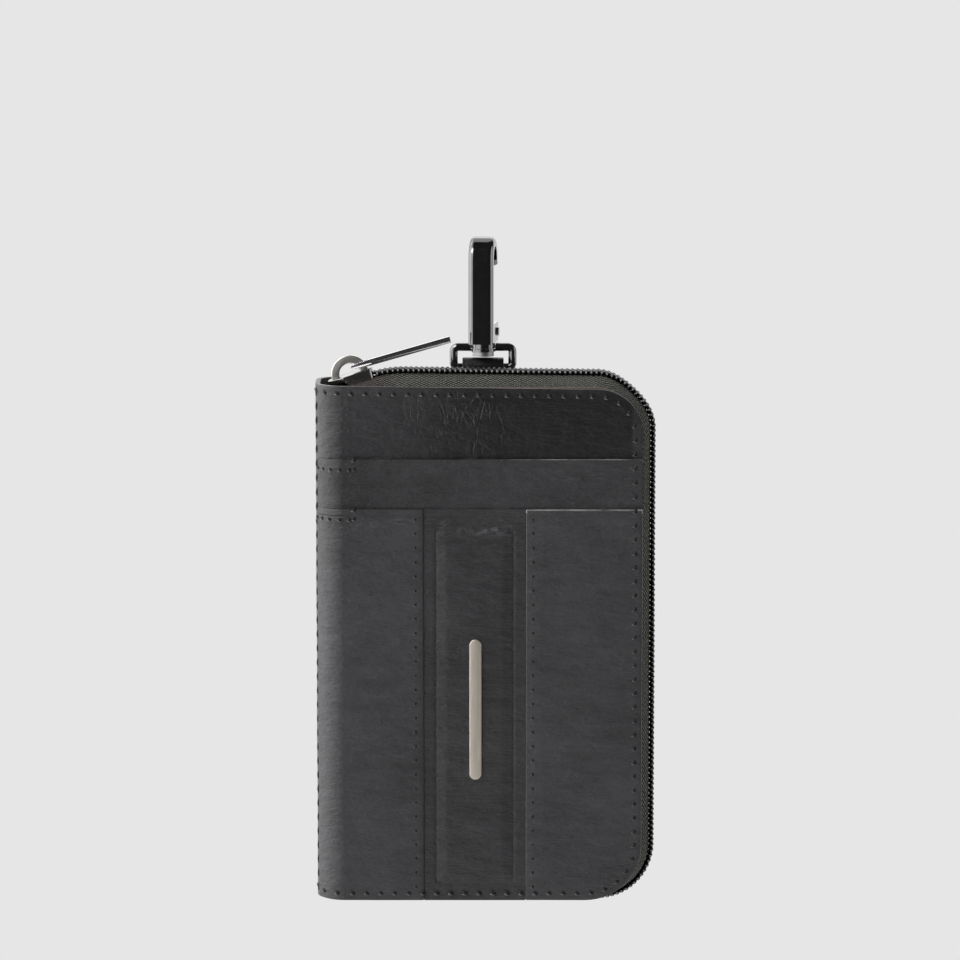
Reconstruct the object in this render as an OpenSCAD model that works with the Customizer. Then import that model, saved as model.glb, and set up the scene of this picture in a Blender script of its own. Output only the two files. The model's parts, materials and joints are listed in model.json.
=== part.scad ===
// Zip-round leather key case with card pockets, a row of key hooks and a swivel snap hook.
// The origin is the centre of the snap hook's inner crown, where the case hangs.
// Z is up, the front with the card pockets faces -Y, and the spine is on the -X side.

/* [Case] */
// Width across the leather, from the spine to the opening edge
case_w = 70; // [66:1:80]
// Height of the leather panels
case_h = 112; // [104:1:130]
// Radius of the two corners on the opening side
corner_r = 9.5; // [8:0.5:12]
// Half of the depth inside, from the chain's plane to a lining
half_depth = 7; // [7:0.25:9]
// Outer radius of the leather where it turns into the spine
roll_r = 6; // [5:0.25:6.5]
// Thickness of the outer leather
leather_t = 1; // [0.8:0.1:1.2]
// Thickness of the stiffening boards
board_t = 0.8; // [0.6:0.1:1.2]
// Thickness of the lining
lining_t = 0.45; // [0.3:0.05:0.6]
// How far the boards stay inside the leather's edge
board_inset = 0.3; // [0.2:0.1:0.8]
// How far the linings stay inside the leather's edge
lining_inset = 1.2; // [1:0.1:1.5]

/* [Card pockets] */
// Thickness of the pocket leather
pocket_t = 0.8; // [0.6:0.1:1]
// Distance of the upper pocket's mouth below the top edge
upper_mouth = 15.7; // [12:0.1:20]
// Distance of the lower pocket's mouth below the upper one
mouth_step = 10.7; // [8:0.1:14]
// Rim of the front cover left bare round the pockets
pocket_rim = 1.6; // [1:0.1:2.5]
// Width of the inset panel in the middle of the lower pocket
inset_w = 22.6; // [20:0.2:26]
// Offset of the inset panel towards the spine
inset_shift = 0.9; // [0:0.1:3]
// Thickness of the inset panel's leather
inset_t = 0.5; // [0.4:0.1:0.6]
// Width of the raised pad
pad_w = 17; // [14:0.2:19]
// Distance of the raised pad above the bottom edge
pad_foot = 3.7; // [2.5:0.1:6]
// How far the pad's filler lifts the leather
pad_rise = 1; // [0.6:0.1:1.4]
// Distance of the pad below the lower pocket's mouth
pad_drop = 4; // [3:0.1:5]
// Corner radius of the pad
pad_r = 2; // [1.5:0.1:3]
// Width of the pad's sloping side
pad_bevel = 0.9; // [0.7:0.1:1.2]

/* [Zip] */
// Thickness of the woven tape
tape_t = 0.55; // [0.4:0.05:0.6]
// Depth of the tape margin sewn between board and lining
tape_margin = 6; // [4:0.5:8]
// How far the coil's middle stands out from the leather's edge
coil_out = 2.7; // [2.6:0.1:3.2]
// Pitch of the loops in one row of the coil
coil_pitch = 1.13; // [1.1:0.01:1.2]
// Thickness of the coil's wire
coil_wire = 0.5; // [0.44:0.02:0.52]
// Width of one row of loops
loop_w = 2.1; // [1.8:0.1:2.4]
// Height of a loop between its wire centres
loop_h = 0.8; // [0.7:0.05:0.9]
// How far the loops of one row reach into the other
mesh_depth = 0.2; // [0.1:0.02:0.22]
// Slope of the tape and slider at the closed end
slider_tilt = 18; // [10:1:18]
// Distance from the spine at which the chain runs level
level_start = 19; // [18:0.5:22]
// Distance from the spine at which the slope begins to ease
ease_start = 11.5; // [11:0.25:12]
// Length of the slider
slider_l = 9.9; // [9:0.1:10]
// Width across the slider's shoulders
slider_w = 7.6; // [7:0.1:7.8]
// Distance of the slider's middle from the spine
slider_at = 8.1; // [7.6:0.1:8.4]
// Thickness of the slider's plates
plate_t = 0.9; // [0.6:0.05:0.95]
// Outer radius of the slider's bail
bail_r = 4.1; // [3.8:0.1:4.4]
// Thickness of the bail's arch
bail_t = 1.8; // [1.5:0.1:1.9]
// Width of the bail across the chain
bail_w = 1.6; // [1.4:0.1:1.8]
// Length of the pull, from its pivot to its tip
pull_l = 22; // [16:0.5:22]
// Width of the pull
pull_w = 3; // [2.8:0.1:3]
// Thickness of the pull
pull_t = 1.4; // [1.2:0.1:1.5]
// Angle of the pull above the horizontal
pull_angle = 16; // [14:1:20]
// Travel of the slider along the top
slide_travel = 45; // [40:1:45]

/* [Snap hook] */
// Radius inside the hook's crown
crown_r = 3; // [2.8:0.1:3.2]
// Thickness of the hook's bow, measured along the radius
bow_t = 2.2; // [2:0.1:2.3]
// Thickness of the hook from side to side
hook_t = 5.4; // [5:0.1:5.6]
// Depth from the crown's centre to the base's lower face
hook_drop = 18; // [17.5:0.1:19]
// Height of the hook's base block
base_h = 4.2; // [4:0.1:5]
// Turn of the hook on its swivel, seen from above
hook_yaw = -7; // [-10:1:0]
// Thickness of the gate
gate_t = 1.6; // [1.4:0.1:1.8]
// Width of the gate
gate_w = 3.6; // [3.2:0.1:3.6]
// Radius of the gate's pin
gate_pin_r = 0.7; // [0.6:0.05:0.75]

/* [Swivel eye] */
// Outer width of the eye
eye_w = 14.6; // [13:0.1:16]
// Distance between the eye's upper and lower bars
eye_gap = 4.4; // [4.3:0.1:5]
// Radius of the eye's wire
eye_r = 0.9; // [0.8:0.05:0.95]
// Centreline radius of the eye's corners
eye_bend = 1; // [1:0.1:1.6]
// Radius of the boss round the swivel rivet
boss_r = 2.8; // [2.6:0.1:2.9]
// Thickness of the boss, low in the eye's upper bar
boss_t = 0.6; // [0.5:0.1:0.8]
// Radius of the swivel rivet's shank
rivet_r = 1.2; // [1:0.1:1.3]
// Radius of the swivel rivet's head
rivet_head_r = 2.4; // [2:0.1:2.5]
// Thickness of the swivel rivet's head
rivet_head_t = 1; // [0.8:0.1:1]

/* [Hanging tab] */
// Width of the leather tab
tab_w = 9; // [7:0.5:9.5]
// Thickness of the leather round the eye
tab_t = 1.1; // [1:0.1:1.3]
// Depth of the tab's sewn end below the top edge
tab_sewn = 6; // [4:0.5:8]
// Distance of the tab from the chain's plane
tab_back = 7.2; // [7.2:0.1:7.6]
// Offset of the tab from the middle of the case
tab_shift = 1.2; // [0:0.1:3]

/* [Key hooks] */
// Number of key hooks
key_hooks = 4;
// Distance between the key hooks
hook_step = 12; // [11:0.5:13]
// Length of a key hook below its pivot
key_hook_l = 20; // [16:1:20]
// Outer radius of a key hook's bow
key_bow_r = 3.6; // [3.2:0.1:4]
// Thickness of a key hook's metal
key_metal_t = 1; // [0.8:0.1:1]
// Width of a key hook's strip
key_strip = 1.4; // [1.2:0.1:1.6]
// Width of the key plate
key_plate_w = 48; // [48:1:56]
// Height of the key plate
key_plate_h = 9; // [8:0.5:12]
// Thickness of the key plate
key_plate_t = 0.8; // [0.6:0.1:0.9]
// Distance of the key plate below the top edge
key_plate_drop = 8; // [8:0.5:12]
// Radius of the key plate's rolled barrels
barrel_r = 1.35; // [1.3:0.05:1.4]
// Radius of a key hook's pivot bar
key_pin_r = 0.65; // [0.55:0.05:0.7]

/* [Hidden] */
$fn = 64;

// Overrun of every cut, gap of a running fit and gap of a loose fit
over = 1;
run_gap = 0.05;
loose_gap = 0.15;
// Gap between hook and eye, and between the tab's loop and the tape
eye_lift = 0.1;
tab_clear = 0.3;

// Layers of each half, as distances from the chain's plane
y_tape = half_depth + lining_t;
y_board = y_tape + tape_t;
y_skin = y_board + board_t;
y_face = y_skin + leather_t;
y_pocket = y_face + pocket_t;

// Places of the case in its own frame: x from the middle, z from the top edge
x_spine = -case_w / 2;
x_open = case_w / 2;
roll_x = x_spine + roll_r;
roll_y = y_face - roll_r;
fold_share = 0.5;
fold_angle = 90 * fold_share;
pocket_fold_share = 0.42;
pocket_fold = 90 * pocket_fold_share;

// Heights of the eye and the case below the hook
eye_top = -hook_drop - eye_lift - eye_r;
eye_low = eye_top - eye_gap;
loop_r = eye_r + eye_lift + tab_t;
tab_lift = loop_r + tab_clear;
case_top = eye_low - tab_lift;
case_x = -tab_shift;
case_y = -tab_back;

module in_case() {
    translate([case_x, case_y, case_top]) children();
}

module front_side() {
    in_case() mirror([0, 1, 0]) children();
}

// The panel's outline: square on the spine side, rounded on the opening side
module panel_2d(x_left, inset) {
    r = corner_r - inset;
    x_right = x_open - inset;
    low = inset - case_h;
    translate([x_left, low]) square([x_right - r - x_left, case_h - 2 * inset]);
    translate([x_left, low + r]) square([x_right - x_left, case_h - 2 * inset - 2 * r]);
    for (z = [low + r, -inset - r]) translate([x_right - r, z]) circle(r);
}

// A flat layer from y outwards, cut to the 2D outline that it is given
module layer(y, t) {
    translate([0, y + t, 0]) rotate([90, 0, 0]) linear_extrude(t) children();
}

// A curved layer where the leather turns into the spine
module roll_layer(r, t, low, high, start, angle) {
    translate([roll_x, roll_y, low])
        rotate([0, 0, start])
            rotate_extrude(angle = angle)
                translate([r, 0]) square([t, high - low]);
}

module cover_skin() {
    layer(y_skin, leather_t) panel_2d(roll_x, 0);
    roll_layer(roll_r - leather_t, leather_t, -case_h, 0, 90, fold_angle);
}

module front_cover() {
    color("#2b2b2d") front_side() cover_skin();
}

module back_cover() {
    color("#2b2b2d") in_case() cover_skin();
}

// Filled outline of the wrap at a radius about its two roll centres
module wrap_2d(r) {
    translate([roll_x - r, -roll_y]) square([r, 2 * roll_y]);
    for (side = [0, 1]) mirror([0, side]) intersection() {
        translate([roll_x, roll_y]) circle(r);
        translate([roll_x - r, roll_y]) square([r, r]);
    }
}

// The spine ends on the radial lines where the covers fold
module spine_shell(depth, t, inset) {
    translate([0, 0, inset - case_h]) linear_extrude(case_h - 2 * inset) difference() {
        wrap_2d(roll_r - depth + t);
        wrap_2d(roll_r - depth);
        for (side = [0, 1]) mirror([0, side])
            translate([roll_x, roll_y]) rotate(fold_angle - 90) translate([-2 * roll_r, 0]) square(4 * roll_r);
    }
}

module spine_leather() {
    color("#3a3a3c") in_case() spine_shell(leather_t, leather_t, 0);
}

module spine_lining() {
    color("#3b3230") in_case() spine_shell(leather_t + lining_t, lining_t, lining_inset);
}

// The board gives way to the sewn end of the hanging tab
module board_2d() {
    difference() {
        panel_2d(roll_x, board_inset);
        translate([tab_shift - tab_w / 2 - loose_gap, -tab_sewn - loose_gap])
            square([tab_w + 2 * loose_gap, tab_sewn + over]);
    }
}

key_rivet_r = 0.9;
rivet_hole_r = key_rivet_r + run_gap;
rivet_x = key_plate_w / 2 - key_plate_h / 2;
rivet_z = -key_plate_drop - key_plate_h / 2;

module rivet_places() {
    for (side = [-1, 1]) translate([side * rivet_x, rivet_z]) children();
}

module front_board() {
    color("#6b6257") front_side() layer(y_board, board_t) panel_2d(roll_x, board_inset);
}

module back_board() {
    color("#6b6257") in_case() layer(y_board, board_t) difference() {
        board_2d();
        rivet_places() circle(rivet_hole_r);
    }
}

module front_lining() {
    color("#3b3230") front_side() layer(half_depth, lining_t) panel_2d(roll_x, lining_inset);
}

module back_lining() {
    color("#3b3230") in_case() layer(half_depth, lining_t) difference() {
        panel_2d(roll_x, lining_inset);
        rivet_places() circle(rivet_hole_r);
    }
}

// The part of a pocket between two widths and below its mouth
module pocket_2d(x_left, x_right, mouth) {
    intersection() {
        panel_2d(roll_x, pocket_rim);
        translate([x_left, -case_h]) square([x_right - x_left, case_h - mouth]);
    }
}

lower_mouth = upper_mouth + mouth_step;
inset_left = -inset_shift - inset_w / 2;
inset_right = inset_left + inset_w;
pad_x = (inset_left + inset_right) / 2;
pad_top = -lower_mouth - pad_drop;

module upper_pocket() {
    color("#333335") front_side() {
        layer(y_face, pocket_t) pocket_2d(roll_x, x_open, upper_mouth);
        roll_layer(roll_r, pocket_t, pocket_rim - case_h, -upper_mouth, 90, pocket_fold);
    }
}

module lower_pocket_left() {
    color("#3d3d3f") front_side() {
        layer(y_pocket, pocket_t) pocket_2d(roll_x, inset_left, lower_mouth);
        roll_layer(roll_r + pocket_t, pocket_t, pocket_rim - case_h, -lower_mouth, 90, pocket_fold);
    }
}

module lower_pocket_right() {
    color("#3d3d3f") front_side() layer(y_pocket, pocket_t) pocket_2d(inset_right, x_open, lower_mouth);
}

pad_h = case_h - upper_mouth - mouth_step - pad_drop - pad_foot;

module pad_2d(inset) {
    w = pad_w - 2 * inset;
    h = pad_h - 2 * inset;
    translate([pad_x - w / 2, pad_top - inset - h])
        hull() for (x = [pad_r, w - pad_r], z = [pad_r, h - pad_r]) translate([x, z]) circle(pad_r, $fn = 24);
}

module pad_block_2d(inset) {
    w = pad_w - 2 * inset;
    h = pad_h - 2 * inset;
    translate([pad_x - w / 2, pad_top - inset - h]) square([w, h]);
}

// The inset panel is drawn over the filler, so it stands up with sloping sides
module lower_pocket_centre() {
    gap = run_gap;
    color("#353537") front_side() difference() {
        union() {
            layer(y_pocket, inset_t) pocket_2d(inset_left + gap, inset_right - gap, lower_mouth);
            hull() {
                layer(y_pocket, inset_t) pad_2d(0);
                layer(y_pocket + pad_rise, inset_t) pad_2d(pad_bevel);
            }
        }
        layer(y_pocket - over, pad_rise + over) pad_block_2d(2 * pad_bevel);
    }
}

module pocket_pad() {
    color("#8a8378") front_side() layer(y_pocket, pad_rise - run_gap) pad_block_2d(2 * pad_bevel + run_gap);
}

// Drop of the chain below its level run at a distance from the spine
function slope() = tan(slider_tilt);
function eased(u) = slope() * pow(level_start - u, 2) / (2 * (level_start - ease_start));
function drop(u) = u >= level_start ? 0
    : u >= ease_start ? eased(u)
    : eased(ease_start) + slope() * (ease_start - u);

// The chain stands out most along the opening side, and less along the top and the bottom
top_drop = 0.4;
bend_drop = 0.8;
low_drop = 0.7;

// At the open end the tape tucks in behind the spine's lower corner
tape_start = 4.2;
tail_run = 10;
tail_drop = 1.7;
function tail(u) = u >= tape_start + tail_run ? 0 : tail_drop * pow(1 - (u - tape_start) / tail_run, 2);

// A place on the leather's edge: its point, its outward direction and the chain's drop there
corner_x = x_open - corner_r;
low_z = corner_r - case_h;
function on_top(u) = [[x_spine + u, 0], [0, 1], top_drop + drop(u)];
function on_bottom(u) = [[x_spine + u, -case_h], [0, -1], low_drop + tail(u)];
function on_bend(z, a, sunk) = [[corner_x + corner_r * cos(a), z + corner_r * sin(a)], [cos(a), sin(a)], sunk];
function on_top_bend(a) = on_bend(-corner_r, a, top_drop * a / 90 + bend_drop * pow(sin(2 * a), 2));
function on_low_bend(a) = on_bend(low_z, a, -low_drop * a / 90);

// The tape lies under the coil, follows a parabola and ends in its sewn margin
corner_steps = 8;
ease_steps = 4;
arch_steps = 5;
tape_mid = coil_out - loop_h / 2 - coil_wire / 2 - tape_t / 2 - run_gap / 2;
tape_foot = 0.9;
tape_end_share = 0.06;
y_margin = y_tape + tape_t / 2;

tape_stations = concat(
    [on_top(tape_start)],
    [for (i = [0:ease_steps]) on_top(ease_start + (level_start - ease_start) * i / ease_steps)],
    [for (i = [0:corner_steps]) on_top_bend(90 - 90 * i / corner_steps)],
    [for (i = [0:corner_steps]) on_low_bend(-90 * i / corner_steps)],
    [for (i = [ease_steps:-1:0]) on_bottom(tape_start + tail_run * i / ease_steps)]
);

// Outline of the tape at a station: outer side from margin to chain, then the inner side back
function arch(bulge, half, i) = let (a = acos(tape_end_share) * i / arch_steps)
    [(bulge + half + tape_foot) * pow(sin(a), 2) - tape_foot, (y_margin + half) * cos(a)];
function tape_outline(bulge) = concat(
    [[-tape_margin, y_margin + tape_t / 2]],
    [for (i = [0:arch_steps]) arch(bulge, tape_t / 2, i)],
    [for (i = [arch_steps:-1:0]) arch(bulge, -tape_t / 2, i)],
    [[-tape_margin, y_margin - tape_t / 2]]
);
function place(station, q, y) = [station[0][0] + station[1][0] * q, y, station[0][1] + station[1][1] * q];

// A tube skin over rings of equal length, with fan caps
function tube_faces(rings, n) = concat(
    [for (i = [0:rings - 2], j = [0:n - 1]) [i * n + j, (i + 1) * n + j, i * n + (j + 1) % n]],
    [for (i = [0:rings - 2], j = [0:n - 1]) [i * n + (j + 1) % n, (i + 1) * n + j, (i + 1) * n + (j + 1) % n]]
);
function fan(first, n, flip) = [for (j = [1:n - 2]) flip
    ? [first, first + j + 1, first + j]
    : [first, first + j, first + j + 1]];

// A strip cap: the outline's two long sides are joined by quads
function strip_cap(first, n, flip) = [for (j = [0:n / 2 - 2], k = [0, 1])
    let (a = first + j, b = first + j + 1, c = first + n - 2 - j, d = first + n - 1 - j)
    k == 0 ? (flip ? [a, d, b] : [a, b, d]) : (flip ? [b, d, c] : [b, c, d])];

module tape_strip() {
    n = 2 * arch_steps + 4;
    rings = len(tape_stations);
    points = [for (s = tape_stations) for (p = tape_outline(tape_mid - s[2])) place(s, p[0], p[1])];
    faces = concat(tube_faces(rings, n), strip_cap(0, n, false), strip_cap((rings - 1) * n, n, true));
    polyhedron(points, faces);
}

module front_tape() {
    color("#46484a") front_side() tape_strip();
}

module back_tape() {
    color("#46484a") in_case() tape_strip();
}

// Each row of the chain is one wire wound flat: its heads mesh with the other row's
coil_start = 11.6;
coil_end = 8.6;
run_top = case_w - corner_r - coil_start;
top_arc = (corner_r + coil_out - top_drop / 2 - bend_drop / 2) * PI / 2;
run_side = case_h - 2 * corner_r;
low_arc = (corner_r + coil_out - low_drop / 2) * PI / 2;
run_bottom = case_w - corner_r - coil_end;
coil_run = run_top + top_arc + run_side + low_arc + run_bottom;
function along(s) = s < run_top ? on_top(coil_start + s)
    : s < run_top + top_arc ? on_top_bend(90 - 90 * (s - run_top) / top_arc)
    : s < run_top + top_arc + run_side ? [[x_open, run_top + top_arc - corner_r - s], [1, 0], 0]
    : s < coil_run - run_bottom ? on_low_bend(-90 * (s - run_top - top_arc - run_side) / low_arc)
    : on_bottom(coil_end + coil_run - s);

// The four bends of one loop: head low, head high, outer high, outer low
bend_shares = [[0, 0, 0], [0, 0, 1], [0.5, 1, 1], [0.5, 1, 0]];
wire_sides = 3;
function bend_point(turn, b, k) = let (
    share = bend_shares[b],
    out_y = share[1] * 2 - 1,
    out_q = share[2] * 2 - 1,
    a = 90 + 360 * k / wire_sides,
    s = (turn + share[0]) * coil_pitch + coil_wire / 2 * cos(a),
    y = share[1] * loop_w - (1 - share[1]) * mesh_depth + out_y * coil_wire / 2 * sin(a),
    station = along(s),
    q = coil_out - station[2] + out_q * (loop_h / 2 + coil_wire / 2 * sin(a))
) place(station, q, y);

module coil_row(offset_share) {
    turns = floor(coil_run / coil_pitch) - 1;
    points = [for (t = [0:turns - 1], b = [0:3], k = [0:wire_sides - 1]) bend_point(t + offset_share, b, k)];
    rings = 4 * turns;
    faces = concat(
        tube_faces(rings, wire_sides),
        fan(0, wire_sides, false),
        fan((rings - 1) * wire_sides, wire_sides, true)
    );
    polyhedron(points, faces);
}

module front_coil() {
    color("#1c1c1e") front_side() coil_row(1);
}

module back_coil() {
    color("#1c1c1e") in_case() coil_row(0.5);
}

// The end stop clips round both tapes where the chain ends
stop_l = 1.8;
stop_w = 5;
stop_h = 1.2;

module zip_end_stop() {
    u = coil_end - stop_l;
    out = tape_mid + tape_t / 2 + run_gap - low_drop - tail(u + stop_l / 2);
    color("#55565a") in_case() translate([x_spine + u - stop_l / 2, -stop_w / 2, -case_h - out - stop_h])
        linear_extrude(stop_h) square([stop_l, stop_w]);
}

// The slider's own frame: x towards the chain, z outwards, origin in the middle of its channel
channel_half = 1.45;
channel_drop = 0.5;
slider_z = coil_out - channel_drop - top_drop - drop(slider_at);

module in_slider() {
    in_case() translate([x_spine + slider_at, 0, slider_z]) rotate([0, -slider_tilt, 0]) children();
}

shoulder_r = 1.2;
tail_w = 6;
rim_t = 0.45;
rim_h = 1.55;
rim_back = 1;
post_w = 0.8;
post_l = 2.2;

module slider_2d() {
    back = slider_l / 2 - shoulder_r;
    hull() {
        for (side = [-1, 1]) {
            translate([-back, side * (slider_w / 2 - 2 * shoulder_r)]) circle(shoulder_r, $fn = 32);
            translate([-back + 2 * shoulder_r, side * (slider_w / 2 - shoulder_r)]) circle(shoulder_r, $fn = 32);
            translate([back, side * (tail_w / 2 - shoulder_r)]) circle(shoulder_r, $fn = 32);
        }
    }
}

// The upper plate's rims follow its edge from the shoulders to the chain's way out
module rims_2d() {
    difference() {
        slider_2d();
        offset(delta = -rim_t) slider_2d();
        translate([-slider_l, -slider_w]) square([slider_l - rim_back, 2 * slider_w]);
        translate([0, rim_t - tail_w / 2]) square([slider_l, tail_w - 2 * rim_t]);
    }
}

module zip_slider() {
    color("#75767a") in_slider() {
        translate([0, 0, channel_half]) linear_extrude(plate_t) slider_2d();
        translate([0, 0, -channel_half - plate_t]) linear_extrude(plate_t) slider_2d();
        translate([-slider_l / 2 + shoulder_r, 0, -channel_half]) linear_extrude(2 * channel_half)
            polygon([[0, -post_w / 2], [post_l, 0], [0, post_w / 2], [-post_w / 2, 0]]);
        translate([0, 0, channel_half - rim_h]) linear_extrude(rim_h) rims_2d();
    }
}

// The pull's end bar is trapped under the bail, off its middle
pull_bar_r = 0.45;
pull_reach = 1.65;
pull_lean = 50;
plate_z = channel_half + plate_t;
pull_x = pull_reach * cos(pull_lean);
pull_z = plate_z + pull_reach * sin(pull_lean);

module slider_bail() {
    color("#a8a6a2") in_slider() translate([0, bail_w / 2, plate_z]) rotate([90, 0, 0])
        rotate_extrude_half(bail_r - bail_t, bail_t, bail_w);
}

module rotate_extrude_half(r, t, w) {
    rotate_extrude(angle = 180) translate([r, 0]) square([t, w]);
}

pull_taper = 3.6;
slot_start = 0.45;
slot_l = 3.1;

module zip_pull() {
    w = pull_w;
    color("#5c5d62") in_slider() translate([pull_x, w / 2, pull_z]) rotate([0, slider_tilt - pull_angle, 0])
        rotate([90, 0, 0]) difference() {
            linear_extrude(w) {
                circle(pull_bar_r);
                polygon([[0, -pull_bar_r], [pull_taper, -pull_t / 2], [pull_l, -pull_t / 2],
                    [pull_l, pull_t / 2], [pull_taper, pull_t / 2], [0, pull_bar_r]]);
            }
            translate([slot_start, -pull_t, w / 2 - bail_w / 2 - loose_gap])
                linear_extrude(bail_w + 2 * loose_gap) square([slot_l, 2 * pull_t]);
        }
}

// The hook's own frame: x across its thickness, y towards the gate, z up
module in_hook() {
    rotate([0, 0, hook_yaw]) children();
}

bow_r = crown_r + bow_t;
edge_r = 1.1;
nose_drop = 0.2;
nose_slope = 1.4;
gate_gap = 0.15;
base_top = base_h - hook_drop;
slot_w = gate_w + 2 * loose_gap;
// The gate's slot, its pin's place and the gate's own place in the base
slot_in = 3.5;
pin_in = 1.4;
pin_up = 2.1;
gate_in = 1.9;
pin_y = bow_r - pin_in;
pin_z = pin_up - hook_drop;
hub_r = 1.1;
slot_floor = pin_z - hub_r - gate_gap;
shank_in = 1;
// A round foot under the base stands in the saddle of the eye's upper bar
foot_r = boss_r - loose_gap;
foot_h = 2 * eye_r - boss_t;

// Section of the bow: soft outer edges and a flat inner wall
module bow_2d() {
    translate([crown_r, -hook_t / 2]) square([bow_t - edge_r, hook_t]);
    translate([crown_r, edge_r - hook_t / 2]) square([bow_t, hook_t - 2 * edge_r]);
    for (side = [-1, 1]) translate([bow_r - edge_r, side * (hook_t / 2 - edge_r)]) circle(edge_r);
}

// The bow's section turned to lie across x, standing on the front or the nose side
module bow_bar(side, low, high) {
    translate([0, 0, low]) linear_extrude(high - low) rotate(side * 90) bow_2d();
}

module crown() {
    rotate([90, 0, 90]) rotate_extrude(angle = 180) bow_2d();
}

module hook_nose() {
    low = -nose_drop - nose_slope;
    difference() {
        bow_bar(1, low, 0);
        translate([-hook_t, crown_r, -nose_drop]) rotate([-atan(nose_slope / bow_t), 0, 0])
            translate([0, -bow_t, -2 * nose_slope]) linear_extrude(2 * nose_slope) square([2 * hook_t, 4 * bow_t]);
    }
}

module hook_frame() {
    color("#6a6b70") in_hook() difference() {
        union() {
            crown();
            bow_bar(-1, base_top, 0);
            hook_nose();
            translate([-hook_t / 2, -bow_r + edge_r, -hook_drop])
                linear_extrude(base_h) square([hook_t, 2 * bow_r - edge_r]);
            translate([0, 0, -hook_drop]) linear_extrude(base_h) rotate(-90) bow_2d();
            translate([0, 0, -hook_drop - foot_h]) cylinder(r = foot_r, h = foot_h + shank_in);
        }
        translate([-slot_w / 2, bow_r - slot_in, slot_floor])
            linear_extrude(base_h) square([slot_w, slot_in + over]);
        translate([-hook_t, pin_y, pin_z]) rotate([0, 90, 0]) cylinder(r = gate_pin_r + run_gap, h = 2 * hook_t);
        translate([0, 0, -hook_drop - foot_h - over]) cylinder(r = rivet_r + run_gap, h = foot_h + shank_in + over);
    }
}

// The gate swings into the hook about its pin
module hook_gate() {
    top = -nose_drop - gate_gap / cos(atan(nose_slope / bow_t));
    inner = bow_r - gate_in;
    fall = nose_slope / bow_t;
    hub_w = gate_w - 2 * spring_l - loose_gap;
    color("#3f4044") in_hook() difference() {
        union() {
            translate([-gate_w / 2, 0, 0]) rotate([90, 0, 90]) linear_extrude(gate_w)
                polygon([[inner, pin_z + hub_r + spring_gap], [inner + gate_t, pin_z + hub_r + spring_gap],
                    [inner + gate_t, top - (inner + gate_t - crown_r) * fall],
                    [inner, top - (inner - crown_r) * fall]]);
            translate([-hub_w / 2, 0, 0]) rotate([90, 0, 90]) linear_extrude(hub_w) {
                translate([pin_y, pin_z]) circle(hub_r);
                translate([inner, pin_z]) square([gate_t, hub_r + spring_gap]);
            }
        }
        translate([-hook_t, pin_y, pin_z]) rotate([0, 90, 0]) cylinder(r = gate_pin_r + run_gap, h = 2 * hook_t);
    }
}

pin_head_r = 1;
pin_head_t = 0.4;

module gate_pin() {
    color("#8b8c90") in_hook() translate([-hook_t / 2, pin_y, pin_z]) rotate([0, 90, 0]) {
        cylinder(r = gate_pin_r, h = hook_t);
        translate([0, 0, hook_t]) cylinder(r = pin_head_r, h = pin_head_t);
    }
}

// Two closed turns of the gate's spring, one on each side of its hub
spring_l = 0.5;
spring_gap = 0.2;

module gate_spring() {
    outer = hub_r - run_gap;
    color("#9a9a9c") in_hook() for (side = [-1, 1])
        translate([side * (gate_w / 2 - spring_l / 2) - spring_l / 2, pin_y, pin_z]) rotate([0, 90, 0])
            difference() {
                cylinder(r = outer, h = spring_l);
                translate([0, 0, -over]) cylinder(r = gate_pin_r + run_gap, h = spring_l + 2 * over);
            }
}

// The rivet joins hook and eye, and its head lies inside the eye
module swivel_rivet() {
    boss_low = eye_top - eye_r;
    head_top = boss_low - run_gap;
    color("#b8b8ba") {
        translate([0, 0, head_top]) cylinder(r = rivet_r, h = shank_in - hook_drop - head_top - run_gap);
        translate([0, 0, head_top - rivet_head_t]) cylinder(r = rivet_head_r, h = rivet_head_t);
    }
}

module eye_bar(length) {
    rotate([0, 90, 0]) cylinder(r = eye_r, h = length, center = true);
}

module eye_corner(turn) {
    rotate([90, 0, 0]) rotate(turn) rotate_extrude(angle = 90) translate([eye_bend, 0]) circle(eye_r);
}

module swivel_eye() {
    half = eye_w / 2 - eye_r;
    boss_top = eye_top - eye_r + boss_t;
    straight = 2 * (half - eye_bend);
    color("#55565a") difference() {
        union() {
            translate([0, 0, eye_top]) eye_bar(straight);
            translate([0, 0, eye_low]) eye_bar(straight);
            for (side = [-1, 1]) {
                translate([side * half, 0, eye_low + eye_bend]) cylinder(r = eye_r, h = eye_gap - 2 * eye_bend);
            }
            translate([half - eye_bend, 0, eye_top - eye_bend]) eye_corner(0);
            translate([eye_bend - half, 0, eye_top - eye_bend]) eye_corner(90);
            translate([eye_bend - half, 0, eye_low + eye_bend]) eye_corner(180);
            translate([half - eye_bend, 0, eye_low + eye_bend]) eye_corner(270);
            translate([0, 0, boss_top - boss_t]) cylinder(r = boss_r, h = boss_t);
        }
        translate([0, 0, boss_top]) cylinder(r = boss_r, h = 2 * eye_r);
        translate([0, 0, eye_top - 2 * eye_r]) cylinder(r = rivet_r + run_gap, h = 4 * eye_r);
    }
}

// The tab is folded round the eye and sewn in between leather and tape
module hang_tab() {
    tongue_t = board_t - 2 * run_gap;
    tongue_y = y_board + run_gap;
    color("#2b2b2d") in_case() translate([tab_shift - tab_w / 2, 0, 0]) rotate([90, 0, 90]) linear_extrude(tab_w)
        difference() {
            union() {
                translate([tab_back, tab_lift]) circle(loop_r);
                translate([tongue_y, -tab_sewn]) square([tongue_t, tab_sewn + tab_lift]);
            }
            translate([tab_back, tab_lift]) circle(eye_r + eye_lift);
        }
}

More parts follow.
